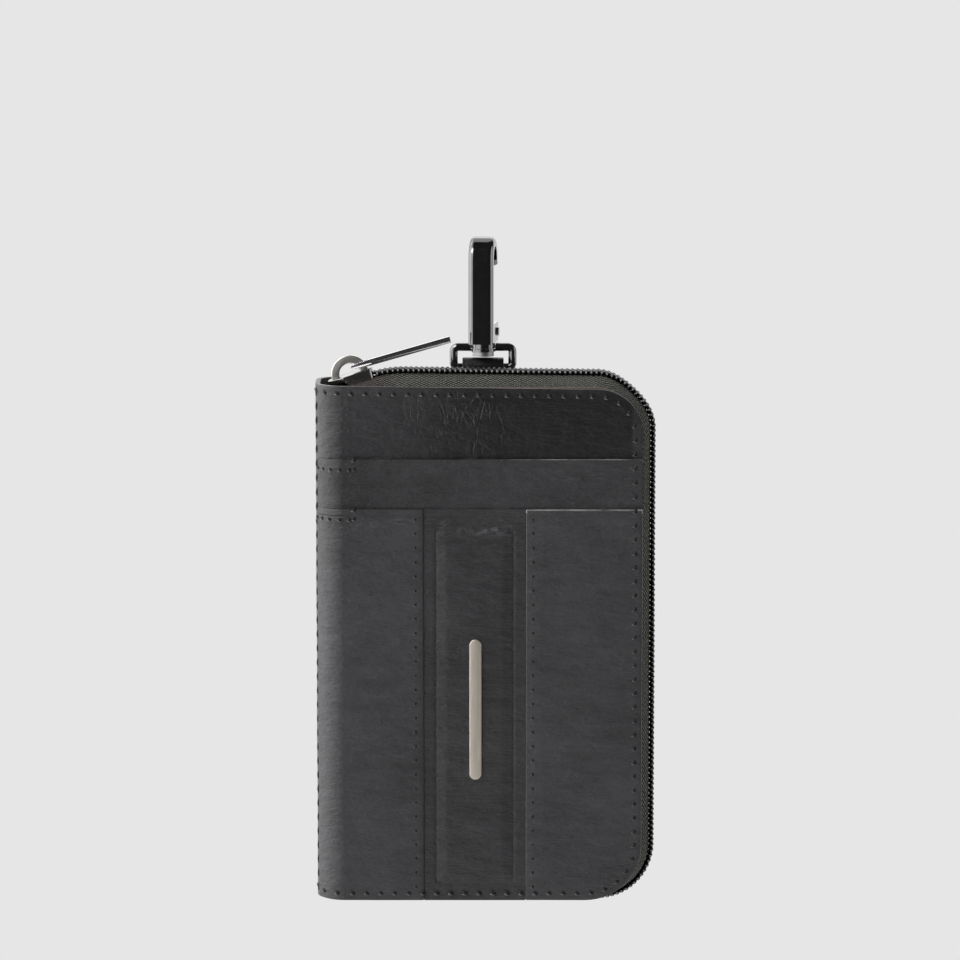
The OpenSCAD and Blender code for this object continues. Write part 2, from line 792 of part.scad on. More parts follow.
// Key plate: a riveted strip whose lower edge is rolled into barrels
barrel_w = 3;
barrel_y = half_depth - barrel_r;
barrel_z = -key_plate_drop - key_plate_h - barrel_r / 2;
function key_x(i) = (i - (key_hooks - 1) / 2) * hook_step;

module key_plate() {
    color("#8d8e92") in_case() difference() {
        union() {
            layer(half_depth - key_plate_t, key_plate_t) difference() {
                translate([-key_plate_w / 2, -key_plate_drop - key_plate_h]) square([key_plate_w, key_plate_h]);
                rivet_places() circle(rivet_hole_r);
            }
            for (i = [0:key_hooks - 1]) translate([key_x(i) - barrel_w / 2, barrel_y, barrel_z])
                rotate([0, 90, 0]) cylinder(r = barrel_r, h = barrel_w);
        }
        for (i = [0:key_hooks - 1]) translate([key_x(i) - barrel_w, barrel_y, barrel_z])
            rotate([0, 90, 0]) cylinder(r = key_pin_r + run_gap, h = 2 * barrel_w);
    }
}

rivet_cap_r = 1.8;
rivet_cap_t = 0.6;

module key_rivets() {
    cap_y = half_depth - key_plate_t - rivet_cap_t;
    color("#a5a6aa") in_case() for (side = [-1, 1]) translate([side * rivet_x, y_skin, rivet_z]) rotate([90, 0, 0]) {
        cylinder(r = key_rivet_r, h = y_skin - cap_y);
        translate([0, 0, y_skin - cap_y - rivet_cap_t]) cylinder(r = rivet_cap_r, h = rivet_cap_t);
    }
}

// A key hook: a stirrup through the barrel, a shank and a round bow with a gap for the key
arm_gap = 0.4;
arm_l = 3.4;
mouth_w = 1.6;

module key_hook_2d() {
    half = barrel_w / 2 + arm_gap;
    bow_z = key_bow_r - key_hook_l;
    for (side = [0, 1]) mirror([side, 0]) translate([half, -arm_l - key_strip]) square([key_strip, arm_l + key_strip]);
    translate([-half, -arm_l - key_strip]) square([2 * half, key_strip]);
    translate([-key_strip / 2, bow_z + key_bow_r - key_strip / 2])
        square([key_strip, -arm_l - key_strip / 2 - bow_z - key_bow_r + key_strip / 2]);
    difference() {
        translate([0, bow_z]) circle(key_bow_r);
        translate([0, bow_z]) circle(key_bow_r - key_strip);
        translate([0, bow_z]) rotate(35) square([2 * key_bow_r, mouth_w]);
    }
}

module key_hook(i) {
    half = barrel_w / 2 + arm_gap;
    color("#9b9ca0") in_case() translate([key_x(i), barrel_y, barrel_z]) {
        difference() {
            translate([0, key_metal_t / 2, 0]) rotate([90, 0, 0]) linear_extrude(key_metal_t) key_hook_2d();
            translate([-half, -over, -key_pin_r]) linear_extrude(2 * barrel_r) square([2 * half, 2 * over]);
        }
        translate([-half - key_strip, 0, 0]) rotate([0, 90, 0]) cylinder(r = key_pin_r, h = 2 * (half + key_strip));
    }
}

module key_hook_1() { key_hook(0); }
module key_hook_2() { key_hook(1); }
module key_hook_3() { key_hook(2); }
module key_hook_4() { key_hook(3); }

hook_frame();
hook_gate();
gate_pin();
gate_spring();
swivel_rivet();
swivel_eye();
hang_tab();
front_cover();
front_board();
front_lining();
upper_pocket();
lower_pocket_left();
lower_pocket_right();
lower_pocket_centre();
pocket_pad();
spine_leather();
spine_lining();
back_cover();
back_board();
back_lining();
front_tape();
back_tape();
front_coil();
back_coil();
zip_slider();
slider_bail();
zip_pull();
zip_end_stop();
key_plate();
key_rivets();
key_hook_1();
key_hook_2();
key_hook_3();
key_hook_4();
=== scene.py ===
import json
import math

import bpy
from mathutils import Matrix, Vector

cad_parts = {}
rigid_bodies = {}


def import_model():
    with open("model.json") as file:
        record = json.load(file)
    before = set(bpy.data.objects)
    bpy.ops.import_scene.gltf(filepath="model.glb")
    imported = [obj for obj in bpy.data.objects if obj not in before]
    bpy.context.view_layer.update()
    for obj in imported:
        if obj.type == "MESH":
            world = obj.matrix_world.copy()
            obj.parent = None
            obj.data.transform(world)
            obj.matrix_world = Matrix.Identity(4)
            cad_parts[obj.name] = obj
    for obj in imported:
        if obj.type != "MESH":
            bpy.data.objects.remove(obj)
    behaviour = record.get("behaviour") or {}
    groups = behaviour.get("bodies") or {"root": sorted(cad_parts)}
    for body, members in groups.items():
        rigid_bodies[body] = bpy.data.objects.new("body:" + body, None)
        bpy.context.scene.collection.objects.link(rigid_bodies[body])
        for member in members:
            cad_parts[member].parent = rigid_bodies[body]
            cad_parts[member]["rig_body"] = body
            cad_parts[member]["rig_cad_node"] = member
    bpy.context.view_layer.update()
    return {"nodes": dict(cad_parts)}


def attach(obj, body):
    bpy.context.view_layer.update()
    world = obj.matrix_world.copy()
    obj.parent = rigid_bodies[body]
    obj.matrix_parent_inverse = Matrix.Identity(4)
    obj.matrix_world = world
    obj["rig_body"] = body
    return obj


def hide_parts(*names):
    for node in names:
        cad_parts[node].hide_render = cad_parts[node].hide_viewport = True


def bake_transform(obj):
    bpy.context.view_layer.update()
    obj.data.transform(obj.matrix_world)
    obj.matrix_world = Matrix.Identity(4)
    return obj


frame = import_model()
nodes = frame["nodes"]

# Camera, lamps and the pale set.
# A long lens looks at the front from a little above. Six soft boxes light it, mostly from the
# left and the top, and the metal mirrors a dark screen. The case hangs above a pale floor.
MM = 0.001
PALE = 0.791
SKY, SCREEN = 0.84, 0.80
LOOK_DOWN = 7.76
LAMPS_MEET = Vector((0, 0, -0.07))

scene = bpy.context.scene
scene.view_settings.view_transform = "Standard"

camera = bpy.data.objects.new("camera", bpy.data.cameras.new("camera"))
scene.collection.objects.link(camera)
camera.location = (-0.00066, -0.957, 0.0821)
camera.rotation_euler = (math.radians(90 - LOOK_DOWN), 0, 0)
camera.data.lens = 165.3
camera.data.sensor_width = 36
camera.data.clip_start = 0.05
scene.camera = camera


def soft_box(name, place, size, power):
    lamp = bpy.data.objects.new(name, bpy.data.lights.new(name, "AREA"))
    scene.collection.objects.link(lamp)
    lamp.data.shape = "RECTANGLE"
    lamp.data.size, lamp.data.size_y = size
    lamp.data.energy = power
    lamp.location = place
    lamp.rotation_euler = (LAMPS_MEET - lamp.location).to_track_quat("-Z", "Y").to_euler()


soft_box("left_box", (-0.70, 0.12, 0.05), (0.9, 1.3), 4.6)
soft_box("front_box", (-0.75, -0.55, 0.25), (1.0, 1.0), 2.4)
soft_box("high_box", (-0.52, -0.45, 0.72), (0.5, 0.4), 3.0)
soft_box("right_box", (0.80, 0.10, 0.05), (0.35, 0.9), 0.6)
soft_box("top_box", (-0.15, 0.55, 0.75), (1.3, 0.8), 2.8)
soft_box("back_box", (0.2, 0.80, 0.35), (0.9, 0.7), 1.0)


def feed(tree, socket, value):
    if isinstance(value, Shade):
        tree.links.new(value.socket, socket)
    else:
        socket.default_value = value


def add_node(tree, kind, settings=(), inputs=(), out=0):
    """One node of a material: its settings first, then the values or links of its sockets."""
    made = tree.nodes.new(kind)
    for name, value in dict(settings).items():
        setattr(made, name, value)
    for name, value in dict(inputs).items():
        feed(tree, made.inputs[name], value)
    return Shade(tree, made.outputs[out])


class Shade:
    """A socket of a node tree, so that shader maths is written as an expression."""

    def __init__(self, tree, socket):
        self.tree = tree
        self.socket = socket

    def maths(self, operation, *others):
        values = dict(enumerate((self, *others)))
        return add_node(self.tree, "ShaderNodeMath", {"operation": operation}, values)

    def __add__(self, other):
        return self.maths("ADD", other)

    def __sub__(self, other):
        return self.maths("SUBTRACT", other)

    def __rsub__(self, other):
        return self.maths("MULTIPLY_ADD", -1.0, other)

    def __mul__(self, other):
        return self.maths("MULTIPLY", other)

    def __truediv__(self, other):
        return self.maths("DIVIDE", other)

    def __abs__(self):
        return self.maths("ABSOLUTE")

    def above(self, level, width):
        """0 below the level, 1 above it, with a soft step of that width."""
        settings = {"interpolation_type": "SMOOTHSTEP"}
        inputs = {"Value": self, "From Min": level - width / 2, "From Max": level + width / 2}
        return add_node(self.tree, "ShaderNodeMapRange", settings, inputs)

    def between(self, low, high, width):
        return self.above(low, width) * (1.0 - self.above(high, width))

    def part(self, place):
        """The x, y or z part of a vector."""
        return add_node(self.tree, "ShaderNodeSeparateXYZ", (), {0: self}, place)


world = bpy.data.worlds.new("studio")
scene.world = world
world.use_nodes = True
world.node_tree.nodes.clear()
tree = world.node_tree
direction = add_node(tree, "ShaderNodeTexCoord")
side_way, far_way, up_way = direction.part(0), direction.part(1), direction.part(2)
dark_screen = side_way.above(-0.31, 0.07) * (1.0 - side_way.above(0.84, 0.12))
dark_screen = dark_screen * (far_way * -1.0).above(-0.72, 0.16) * up_way.above(-0.5, 0.2)
studio = SKY - dark_screen * SCREEN
seen = add_node(tree, "ShaderNodeLightPath")
camera_sees = add_node(tree, "ShaderNodeBackground", (), {"Color": (PALE, PALE, PALE, 1), "Strength": 1.0})
lights_with = add_node(tree, "ShaderNodeBackground", (), {"Color": (1, 1, 1, 1), "Strength": studio})
mixed = add_node(tree, "ShaderNodeMixShader", (), {0: seen, 1: lights_with, 2: camera_sees})
world_out = tree.nodes.new("ShaderNodeOutputWorld")
tree.links.new(mixed.socket, world_out.inputs["Surface"])


def new_finish(name):
    """An empty material and the tree that its nodes go into."""
    finish = bpy.data.materials.new(name)
    finish.use_nodes = True
    finish.node_tree.nodes.clear()
    return finish, finish.node_tree


def surface(tree, **sockets):
    """Ends a material in one Principled shader with those sockets."""
    names = {name.replace("_", " ").title().replace("Ior", "IOR"): value for name, value in sockets.items()}
    shader = add_node(tree, "ShaderNodeBsdfPrincipled", (), names)
    out = tree.nodes.new("ShaderNodeOutputMaterial")
    tree.links.new(shader.socket, out.inputs["Surface"])


def place_of(tree):
    """The point on the surface, in metres of the shared frame."""
    return add_node(tree, "ShaderNodeTexCoord", (), (), 3)


def noise(tree, at, scale, detail=2.0, stretch=None, rough=0.5):
    if stretch:
        at = add_node(tree, "ShaderNodeVectorMath", {"operation": "MULTIPLY"}, {0: at, 1: stretch})
    return add_node(
        tree, "ShaderNodeTexNoise", (), {"Vector": at, "Scale": scale, "Detail": detail, "Roughness": rough}
    )


def tint(tree, share, low, high):
    """A colour between two, by a share."""
    return add_node(
        tree, "ShaderNodeMix", {"data_type": "RGBA"}, {0: share, 6: (*low, 1), 7: (*high, 1)}, 2
    )


floor_finish, tree = new_finish("pale_floor")
dust = noise(tree, place_of(tree), 30.0)
surface(tree, base_color=tint(tree, dust, (0.70, 0.70, 0.70), (0.74, 0.74, 0.74)), roughness=0.9)


def alone(piece=None):
    """Deselects all, then makes one object the active and only selected one."""
    if bpy.context.object and bpy.context.object.mode != "OBJECT":
        bpy.ops.object.mode_set(mode="OBJECT")
    bpy.ops.object.select_all(action="DESELECT")
    if piece:
        piece.select_set(True)
        bpy.context.view_layer.objects.active = piece


alone()
bpy.ops.mesh.primitive_grid_add(x_subdivisions=24, y_subdivisions=24, size=1.3, location=(0, -0.05, -0.36))
floor = bpy.context.object
floor.name = "floor"
floor.data.materials.append(floor_finish)

# Leather wrap: front cover, spine and back cover.
# One piece of smooth black calf about 1 mm thick, turned round a soft spine on the left. Its
# cut edge is painted. It is made here as two halves that meet in the middle of the spine.
CASE = Vector((-1.2, -7.2, -25.8)) * MM
WIDTH, HEIGHT, CORNER = 70.0, 112.0, 9.5
FACE = 9.8
ROLL = 6.0
ROLL_X = -WIDTH / 2 + ROLL
ROLL_Y = FACE - ROLL
OPEN_X = WIDTH / 2
SPINE_MIDDLE = ROLL_X - ROLL * math.pi / 2 - ROLL_Y
LEATHER = 1.0
EDGE_ROUND = 0.3
GRAIN_DEEP = 0.12
# The leather's own cut edge, measured on the closed case. Its top falls a little to the right.
CUT_RIGHT, CUT_LOW, CUT_TOP = OPEN_X + 0.75, -HEIGHT - 0.5, 0.22
CUT_ROUND, LOW_ROUND = CORNER + 0.3, 12.3
TOP_FALL = 0.95
# Pocket leather ends this far round the roll, pared down by this share of its thickness.
PARED_TURN, PARED_SHARE = math.radians(62), 0.72
ROLL_STEP, CORNER_STEPS = 0.7, 14
# Where the leather's tone changes: its painted highlight on the roll fades, and the paler rims and collar
# begin.
ROLL_HIGHLIGHT_X, ROLL_HIGHLIGHT_SOFT = 12.0, 22.0
RIM_X, RIM_Z, COLLAR_Z = OPEN_X - 1.7, 5.0 - HEIGHT, -1.6
# Where the paint of a pocket's mouth gets a painted highlight, and how far down.
HIGHLIGHT_X, HIGHLIGHT_SOFT, HIGHLIGHT_DOWN = 6.0, 16.0, 0.9


def on_skin(along, out=0.0):
    """x, y and the outward direction on the wrap's outer face, by the way along it in mm."""
    if along >= ROLL_X:
        return along, FACE + out, (0.0, 1.0)
    turn = (ROLL_X - along) / ROLL
    if turn <= math.pi / 2:
        way = (-math.sin(turn), math.cos(turn))
        return ROLL_X + (ROLL + out) * way[0], ROLL_Y + (ROLL + out) * way[1], way
    rest = ROLL_X - along - ROLL * math.pi / 2
    return ROLL_X - ROLL - out, ROLL_Y - rest, (-1.0, 0.0)


def to_row(x, y, z, side):
    """A point of the case, in mm, on its front (-1) or its back (1), in the shared frame."""
    return CASE + Vector((x, side * y, z)) * MM


def eased(share):
    """A share held between 0 and 1 that starts and ends softly."""
    share = min(max(share, 0.0), 1.0)
    return share * share * (3 - 2 * share)


def pared(along, out):
    """Pocket leather is pared thin where it goes round the roll to its sewn left edge."""
    return out * (1.0 - PARED_SHARE * eased((ROLL_X - along) / (ROLL * PARED_TURN))) if out > 0 else out


def bend_to_skin(piece, side, out, wave=0.0):
    """Lays a flat cut piece on the wrap; wave lets the leather swell and sink a little."""
    for vertex in piece.data.vertices:
        along, z = vertex.co.x / MM, vertex.co.z / MM
        swell = wave * (
            math.sin(along * 0.31 + 1.3) * math.cos(z * 0.17 + 0.4)
            + 0.6 * math.sin(along * 0.13 - z * 0.23 + 2.0)
        )
        x, y, _ = on_skin(along, pared(along, out) + swell)
        vertex.co = to_row(x, y, z, side)


def apply_modifier(piece, kind, **settings):
    alone(piece)
    made = piece.modifiers.new(kind.lower(), kind)
    for name, value in settings.items():
        setattr(made, name, value)
    bpy.ops.object.modifier_apply(modifier=made.name)


def round_edges(piece, width, segments, angle, finish=-1):
    """Bevels the edges sharper than the angle; finish is the new faces' material slot."""
    apply_modifier(
        piece, "BEVEL", width=width * MM, segments=segments, limit_method="ANGLE",
        angle_limit=math.radians(angle), use_clamp_overlap=True, material=finish,
    )


def smooth(piece, angle):
    alone(piece)
    bpy.ops.object.shade_smooth_by_angle(angle=math.radians(angle))


def edit_all(piece):
    """Opens a piece in edit mode with all of it selected."""
    alone(piece)
    bpy.ops.object.mode_set(mode="EDIT")
    bpy.ops.mesh.select_all(action="SELECT")


def turn_faces_out(piece):
    edit_all(piece)
    bpy.ops.mesh.normals_make_consistent(inside=False)
    bpy.ops.object.mode_set(mode="OBJECT")


def flat_sheet(name, finishes, edges, corners, fall):
    """A sheet in the x and z plane, cut to its left, right, low and high edges."""
    left, right, low, high = edges
    alone()
    bpy.ops.mesh.primitive_plane_add(size=1, location=(0, 0, 0))
    piece = bpy.context.object
    piece.name = piece.data.name = name
    for finish in finishes:
        piece.data.materials.append(finish)

    def corner(at_right, at_bottom):
        top = high - (fall if at_right else 0.0)
        return Vector((right if at_right else left, 0, low if at_bottom else top)) * MM

    for vertex in piece.data.vertices:
        vertex.co = corner(vertex.co.x > 0, vertex.co.y < 0)
    for place, radius in corners.items():
        bpy.ops.object.mode_set(mode="EDIT")
        bpy.ops.mesh.select_mode(type="VERT")
        bpy.ops.mesh.select_all(action="DESELECT")
        bpy.ops.object.mode_set(mode="OBJECT")
        point = corner("right" in place, "bottom" in place)
        for vertex in piece.data.vertices:
            vertex.select = (vertex.co - point).length < 0.01 * MM
        bpy.ops.object.mode_set(mode="EDIT")
        bpy.ops.mesh.bevel(offset=radius * MM, segments=CORNER_STEPS, affect="VERTICES")
    return piece


def rows_of(left, right, low, high, step):
    """Where a sheet gets rows of points, as (mm, axis); they lie closer where it is rolled."""
    rows = []
    along = left + ROLL_STEP
    while along < min(right, ROLL_X):
        rows.append((along, 0))
        along += ROLL_STEP
    along = max(left, ROLL_X)
    while along < right:
        if along > left:
            rows.append((along, 0))
        along += step
    level = low + step
    while level < high:
        rows.append((level, 2))
        level += step
    return rows


def cut_leather(name, finishes, edges, corners, side, out, thick, edge, wave=0.0, step=4.0, fall=0.0):
    """A panel: cut from a flat sheet, its corners rounded, wrapped on, and its edges dressed.

    finishes are for the face and the cut edge. corners maps "top_right" and the like to a
    radius. The thickness goes inwards from out."""
    piece = flat_sheet(name, finishes, edges, corners, fall)
    edit_all(piece)
    for value, axis in rows_of(*edges, step):
        bpy.ops.mesh.select_all(action="SELECT")
        point = (value * MM, 0, 0) if axis == 0 else (0, 0, value * MM)
        normal = (1, 0, 0) if axis == 0 else (0, 0, 1)
        bpy.ops.mesh.bisect(plane_co=point, plane_no=normal, threshold=0.000001)
    bpy.ops.object.mode_set(mode="OBJECT")
    bend_to_skin(piece, side, out, wave)
    turn_faces_out(piece)
    middle = piece.data.polygons[len(piece.data.polygons) // 2]
    outwards = middle.normal.y * side > 0 or (abs(middle.normal.y) < 0.5 and middle.normal.x < 0)
    if not outwards:
        piece.data.flip_normals()
    apply_modifier(piece, "SOLIDIFY", thickness=thick * MM, offset=-1, material_offset_rim=1)
    round_edges(piece, edge, 3, 50, 1)
    smooth(piece, 45)
    return piece


def bump(tree, height, distance, strength=1.0):
    return add_node(
        tree, "ShaderNodeBump", (), {"Height": height, "Distance": distance, "Strength": strength}
    )


def scaled(tone, share):
    return tuple(min(part * share, 1.0) for part in tone)


def hide(tree, at):
    """Height and tone of smooth calf: pores, soft cells, drawn wrinkles and clouds."""
    cloud = noise(tree, at, 42.0, 3.0)
    pores = noise(tree, at, 2400.0, 2.0)
    inputs = {"Vector": at, "Scale": 1000.0, "Smoothness": 0.6}
    cells = add_node(tree, "ShaderNodeTexVoronoi", {"feature": "SMOOTH_F1"}, inputs)
    drawn = noise(tree, at, 300.0, 5.0, (0.45, 1.0, 1.6), 0.66)
    swell = noise(tree, at, 80.0, 3.0, (0.8, 1.0, 1.5))
    height = pores * 0.25 + cells * 0.35 + drawn * 4.2 + swell * 5.0
    share = (cloud * 0.35 + drawn * 0.45 + pores * 0.2 - 0.5) * 2.8 + 0.5
    return height, share, cloud


def creases(tree, at, centre, size, scale, stretch, thin):
    """Fine branching folds that fade out round a place on the hide."""
    side_way = (at.part(0) - centre[0] * MM) / (size[0] * MM)
    up_way = (at.part(2) - centre[1] * MM) / (size[1] * MM)
    reach = 1.0 - (side_way * side_way + up_way * up_way).above(0.5, 1.0)
    warp = add_node(tree, "ShaderNodeTexNoise", (), {"Vector": at, "Scale": 240.0, "Detail": 3.0}, 1)
    sway = {0: warp, 1: (0.0022,) * 3, 2: at}
    moved = add_node(tree, "ShaderNodeVectorMath", {"operation": "MULTIPLY_ADD"}, sway)
    drawn = add_node(tree, "ShaderNodeVectorMath", {"operation": "MULTIPLY"}, {0: moved, 1: stretch})
    lines = add_node(
        tree, "ShaderNodeTexVoronoi", {"feature": "DISTANCE_TO_EDGE"}, {"Vector": drawn, "Scale": scale}
    )
    patchy = noise(tree, at, 330.0, 2.0).above(0.5, 0.22)
    return (1.0 - lines.above(thin * 0.6, thin)) * reach * patchy


def leather(name, tone, gloss, crease=False):
    """Smooth calf. crease adds what the wrap has: folds where the hide was bent across the top
    of the front, a painted highlight on the roll, and paler rims."""
    finish, tree = new_finish(name)
    at = place_of(tree)
    height, share, cloud = hide(tree, at)
    light = 1.5
    if crease:
        across, depth, up_way = at.part(0), at.part(1), at.part(2)
        folds = creases(tree, at, (-5.0, -34.0), (15.0, 9.0), 420.0, (1.0, 1.0, 0.34), 0.10)
        folds = folds + creases(tree, at, (-8.0, -32.5), (16.0, 8.0), 700.0, (1.0, 1.0, 0.4), 0.08) * 0.6
        folds = folds * (1.0 - depth.above(CASE.y, 2 * MM))
        # Painted highlight: the calf is made lighter towards the left, over the roll, where light falls from
        # the left.
        painted_roll_highlight = (across * -1.0).above(ROLL_HIGHLIGHT_X * MM, ROLL_HIGHLIGHT_SOFT * MM) * 0.62
        right_rim = across.above(CASE.x + RIM_X * MM, 1.4 * MM)
        rims = right_rim + (1.0 - up_way.above(CASE.z + RIM_Z * MM, 3 * MM))
        collar = up_way.above(CASE.z + COLLAR_Z * MM, 2.4 * MM) * 0.22
        height = height - folds * 0.7
        share = share * 0.34 + folds * 0.11 + painted_roll_highlight + rims * 0.6 + collar
        light = 3.2
    surface(
        tree,
        base_color=tint(tree, share, scaled(tone, 0.62), scaled(tone, light)),
        roughness=cloud * 0.18 + (gloss - 0.06),
        normal=bump(tree, height, GRAIN_DEEP * MM),
    )
    return finish


def painted_edge(name, tone, gloss=0.36, mouth=None, pale=1.3):
    """Edge paint. With a mouth's height it is made paler there on the right, a painted highlight
    along the mouth's top edge; pale is how much."""
    finish, tree = new_finish(name)
    at = place_of(tree)
    streaks = noise(tree, at, 300.0, 3.0, (1.0, 6.0, 1.0))
    if mouth:
        # Painted highlight: patches of paler paint on the right of the mouth stand for light on its edge.
        painted_highlight = at.part(0).above(HIGHLIGHT_X * MM, HIGHLIGHT_SOFT * MM)
        painted_highlight = painted_highlight * at.part(2).above(CASE.z + (mouth - HIGHLIGHT_DOWN) * MM, 0.3 * MM)
        streaks = streaks * 0.06 + painted_highlight * (noise(tree, at, 260.0, 3.0).above(0.5, 0.45) + 0.12)
    surface(
        tree,
        base_color=tint(tree, streaks, scaled(tone, 0.8), scaled(tone, pale)),
        roughness=streaks * 0.06 + gloss,
        normal=bump(tree, streaks, 0.00005, 0.4),
    )
    return finish


def fold_with_wrap(piece, side):
    """Bakes a piece's place into its mesh; it does not bend it between the spine and its cover."""
    at_spine = to_row(-WIDTH / 2, ROLL_Y, 0, side)
    at_cover = to_row(ROLL_X, FACE, 0, side)
    if side < 0:
        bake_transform(piece)
    else:
        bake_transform(piece)


calf = leather("black_calf", (0.0150, 0.0146, 0.0158), 0.33, crease=True)
edge_paint = painted_edge("edge_paint", (0.095, 0.088, 0.084))

WRAP_EDGES = (SPINE_MIDDLE, CUT_RIGHT, CUT_LOW, CUT_TOP)
WRAP_ROUND = {"top_right": CUT_ROUND, "bottom_right": LOW_ROUND}
for side, name, replaced in (
    (-1, "wrap_front", ("front_cover", "spine_leather")), (1, "wrap_back", ("back_cover",)),
):
    wrap = cut_leather(
        name, (calf, edge_paint), WRAP_EDGES, WRAP_ROUND, side, 0.0, LEATHER, EDGE_ROUND,
        wave=0.03, fall=TOP_FALL,
    )
    fold_with_wrap(wrap, side)
    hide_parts(*replaced)

# Card pockets on the front.
# Two flat leather pockets lie one over the other and are sewn in with the cover's edge. The
# lower one is three panels, and the inset panel in its middle is drawn over a soft filler.
POCKET = 0.8
POCKET_SKIN = POCKET - 0.02
RIM = 0.15
UPPER_MOUTH = -15.7
LOWER_MOUTH = -26.4
INSET_LEFT, INSET_RIGHT = -11.6, 10.4
POCKET_LEFT, POCKET_RIGHT = ROLL_X - ROLL * PARED_TURN, CUT_RIGHT - RIM
POCKET_LOW = CUT_LOW + RIM
POCKET_ROUND = {"bottom_right": LOW_ROUND - RIM}
# Bands under a mouth, in mm from it: the ironed line, and where cards have rubbed.
IRON_LOW, IRON_TOP = -1.75, -1.35
RUB_LOW, RUB_TOP = -4.2, -1.9


def mouth_leather(name, tone, mouth, gloss=0.44, marks=None):
    """Pocket leather, with the line that a hot iron draws under the mouth.

    marks gives what else is pressed into a piece, with painted shade in it, and a painted highlight on it."""
    finish, tree = new_finish(name)
    at = place_of(tree)
    height, share, cloud = hide(tree, at)
    down = at.part(2) - (CASE.z + mouth * MM)
    iron = down.between(IRON_LOW * MM, IRON_TOP * MM, 0.3 * MM)
    iron = iron * noise(tree, at, 90.0, 2.0).above(0.46, 0.25)
    scuffs = noise(tree, at, 900.0, 3.0, (0.5, 1.0, 2.2)).above(0.60, 0.12)
    rub = down.between(RUB_LOW * MM, RUB_TOP * MM, 1.4 * MM) * scuffs
    rub = rub * noise(tree, at, 120.0).above(0.55, 0.2)
    if marks:
        # The marks' pressed lines also carry painted shade, and their second part is a painted highlight.
        pressed, painted_highlight = marks(tree, at)
        iron, rub = iron + pressed, rub + painted_highlight
    surface(
        tree,
        base_color=tint(tree, share - iron * 0.25 + rub * 0.9, scaled(tone, 0.66), scaled(tone, 1.4)),
        roughness=cloud * 0.14 + (gloss - 0.05),
        normal=bump(tree, height - iron * 1.2 + rub * 0.8, GRAIN_DEEP * MM),
    )
    return finish


upper_calf = mouth_leather("upper_pocket_calf", (0.0420, 0.0398, 0.0430), UPPER_MOUTH)
lower_calf = mouth_leather("lower_pocket_calf", (0.0510, 0.0484, 0.0522), LOWER_MOUTH)
# The two mouth paints carry that painted highlight; pale sets how bright it is.
mouth_paint = painted_edge("mouth_paint", (0.058, 0.056, 0.056), 0.26, UPPER_MOUTH, 9.0)
lower_paint = painted_edge("lower_mouth_paint", (0.058, 0.056, 0.056), 0.26, LOWER_MOUTH, 5.5)
plain_paint = painted_edge("pocket_edge_paint", (0.048, 0.046, 0.046))

for name, node, finishes, left, right, mouth, corners, layers in (
    (
        "upper_card_pocket", "upper_pocket", (upper_calf, mouth_paint),
        POCKET_LEFT, POCKET_RIGHT, UPPER_MOUTH, POCKET_ROUND, 1,
    ),
    (
        "lower_pocket_left_panel", "lower_pocket_left", (lower_calf, plain_paint),
        POCKET_LEFT, INSET_LEFT, LOWER_MOUTH, {}, 2,
    ),
    (
        "lower_pocket_right_panel", "lower_pocket_right", (lower_calf, lower_paint),
        INSET_RIGHT, POCKET_RIGHT, LOWER_MOUTH, POCKET_ROUND, 2,
    ),
):
    pocket = cut_leather(
        name, finishes, (left, right, POCKET_LOW, mouth), corners, -1, layers * POCKET, POCKET_SKIN,
        EDGE_ROUND, wave=0.04,
    )
    if left == POCKET_LEFT:
        fold_with_wrap(pocket, -1)
    else:
        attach(pocket, "front_cover")
    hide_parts(node)

# Inset panel, drawn over its filler.
# A thinner leather sheet lies between the two side panels and stands up over a soft board
# pad with pressed, rounded shoulders. Hands have wrinkled it at the pad's top.
INSET_SKIN = 0.5
INSET_GAP = 0.05
PAD_X = -0.7
PAD_HALF = 8.0
PAD_TOP, PAD_LOW = LOWER_MOUTH - 4.0, 3.7 - HEIGHT
PAD_ROUND = 1.4
PAD_RISE, PAD_CROWN = 0.25, 0.06
SHOULDER = 2.6
GROOVE = 0.10
WRINKLE, WRINKLE_BELOW, WRINKLE_WIDE = 0.36, 0.9, 0.38
DENT, DENT_BELOW = 0.20, 2.9
LINE_LOW, LINE_TOP, LINE_OUT, LINE_HALF = -108.0, -30.5, 0.35, 0.16


def pad_marks(tree, at):
    """The pressed line down both sides of the pad and the dent at its top, with painted shade in both, and
    the wrinkle at its top as a painted highlight.
    """
    across, up_way = at.part(0), at.part(2)
    side_way = abs(across - (CASE.x + PAD_X * MM)) - (PAD_HALF + LINE_OUT) * MM
    # The line and the dent are pressed in and also darken the leather: painted shade in the grooves.
    line = abs(side_way).maths("LESS_THAN", LINE_HALF * MM)
    line = line * up_way.between(CASE.z + LINE_LOW * MM, CASE.z + LINE_TOP * MM, 1.5 * MM)
    below = CASE.z + PAD_TOP * MM - up_way
    dent = below.between(1.8 * MM, 3.6 * MM, 1.4 * MM) * across.between(-0.007, 0.006, 0.004)
    # The wrinkle makes the leather paler: a painted highlight on its ridge.
    wrinkle = below.between(0.5 * MM, 1.5 * MM, 0.7 * MM) * across.between(-0.001, 0.006, 0.004)
    patchy = noise(tree, at, 700.0, 3.0, (0.6, 1.0, 1.6)).above(0.46, 0.2)
    return line * 3.2 + dent * 0.7, wrinkle * patchy * 2.2


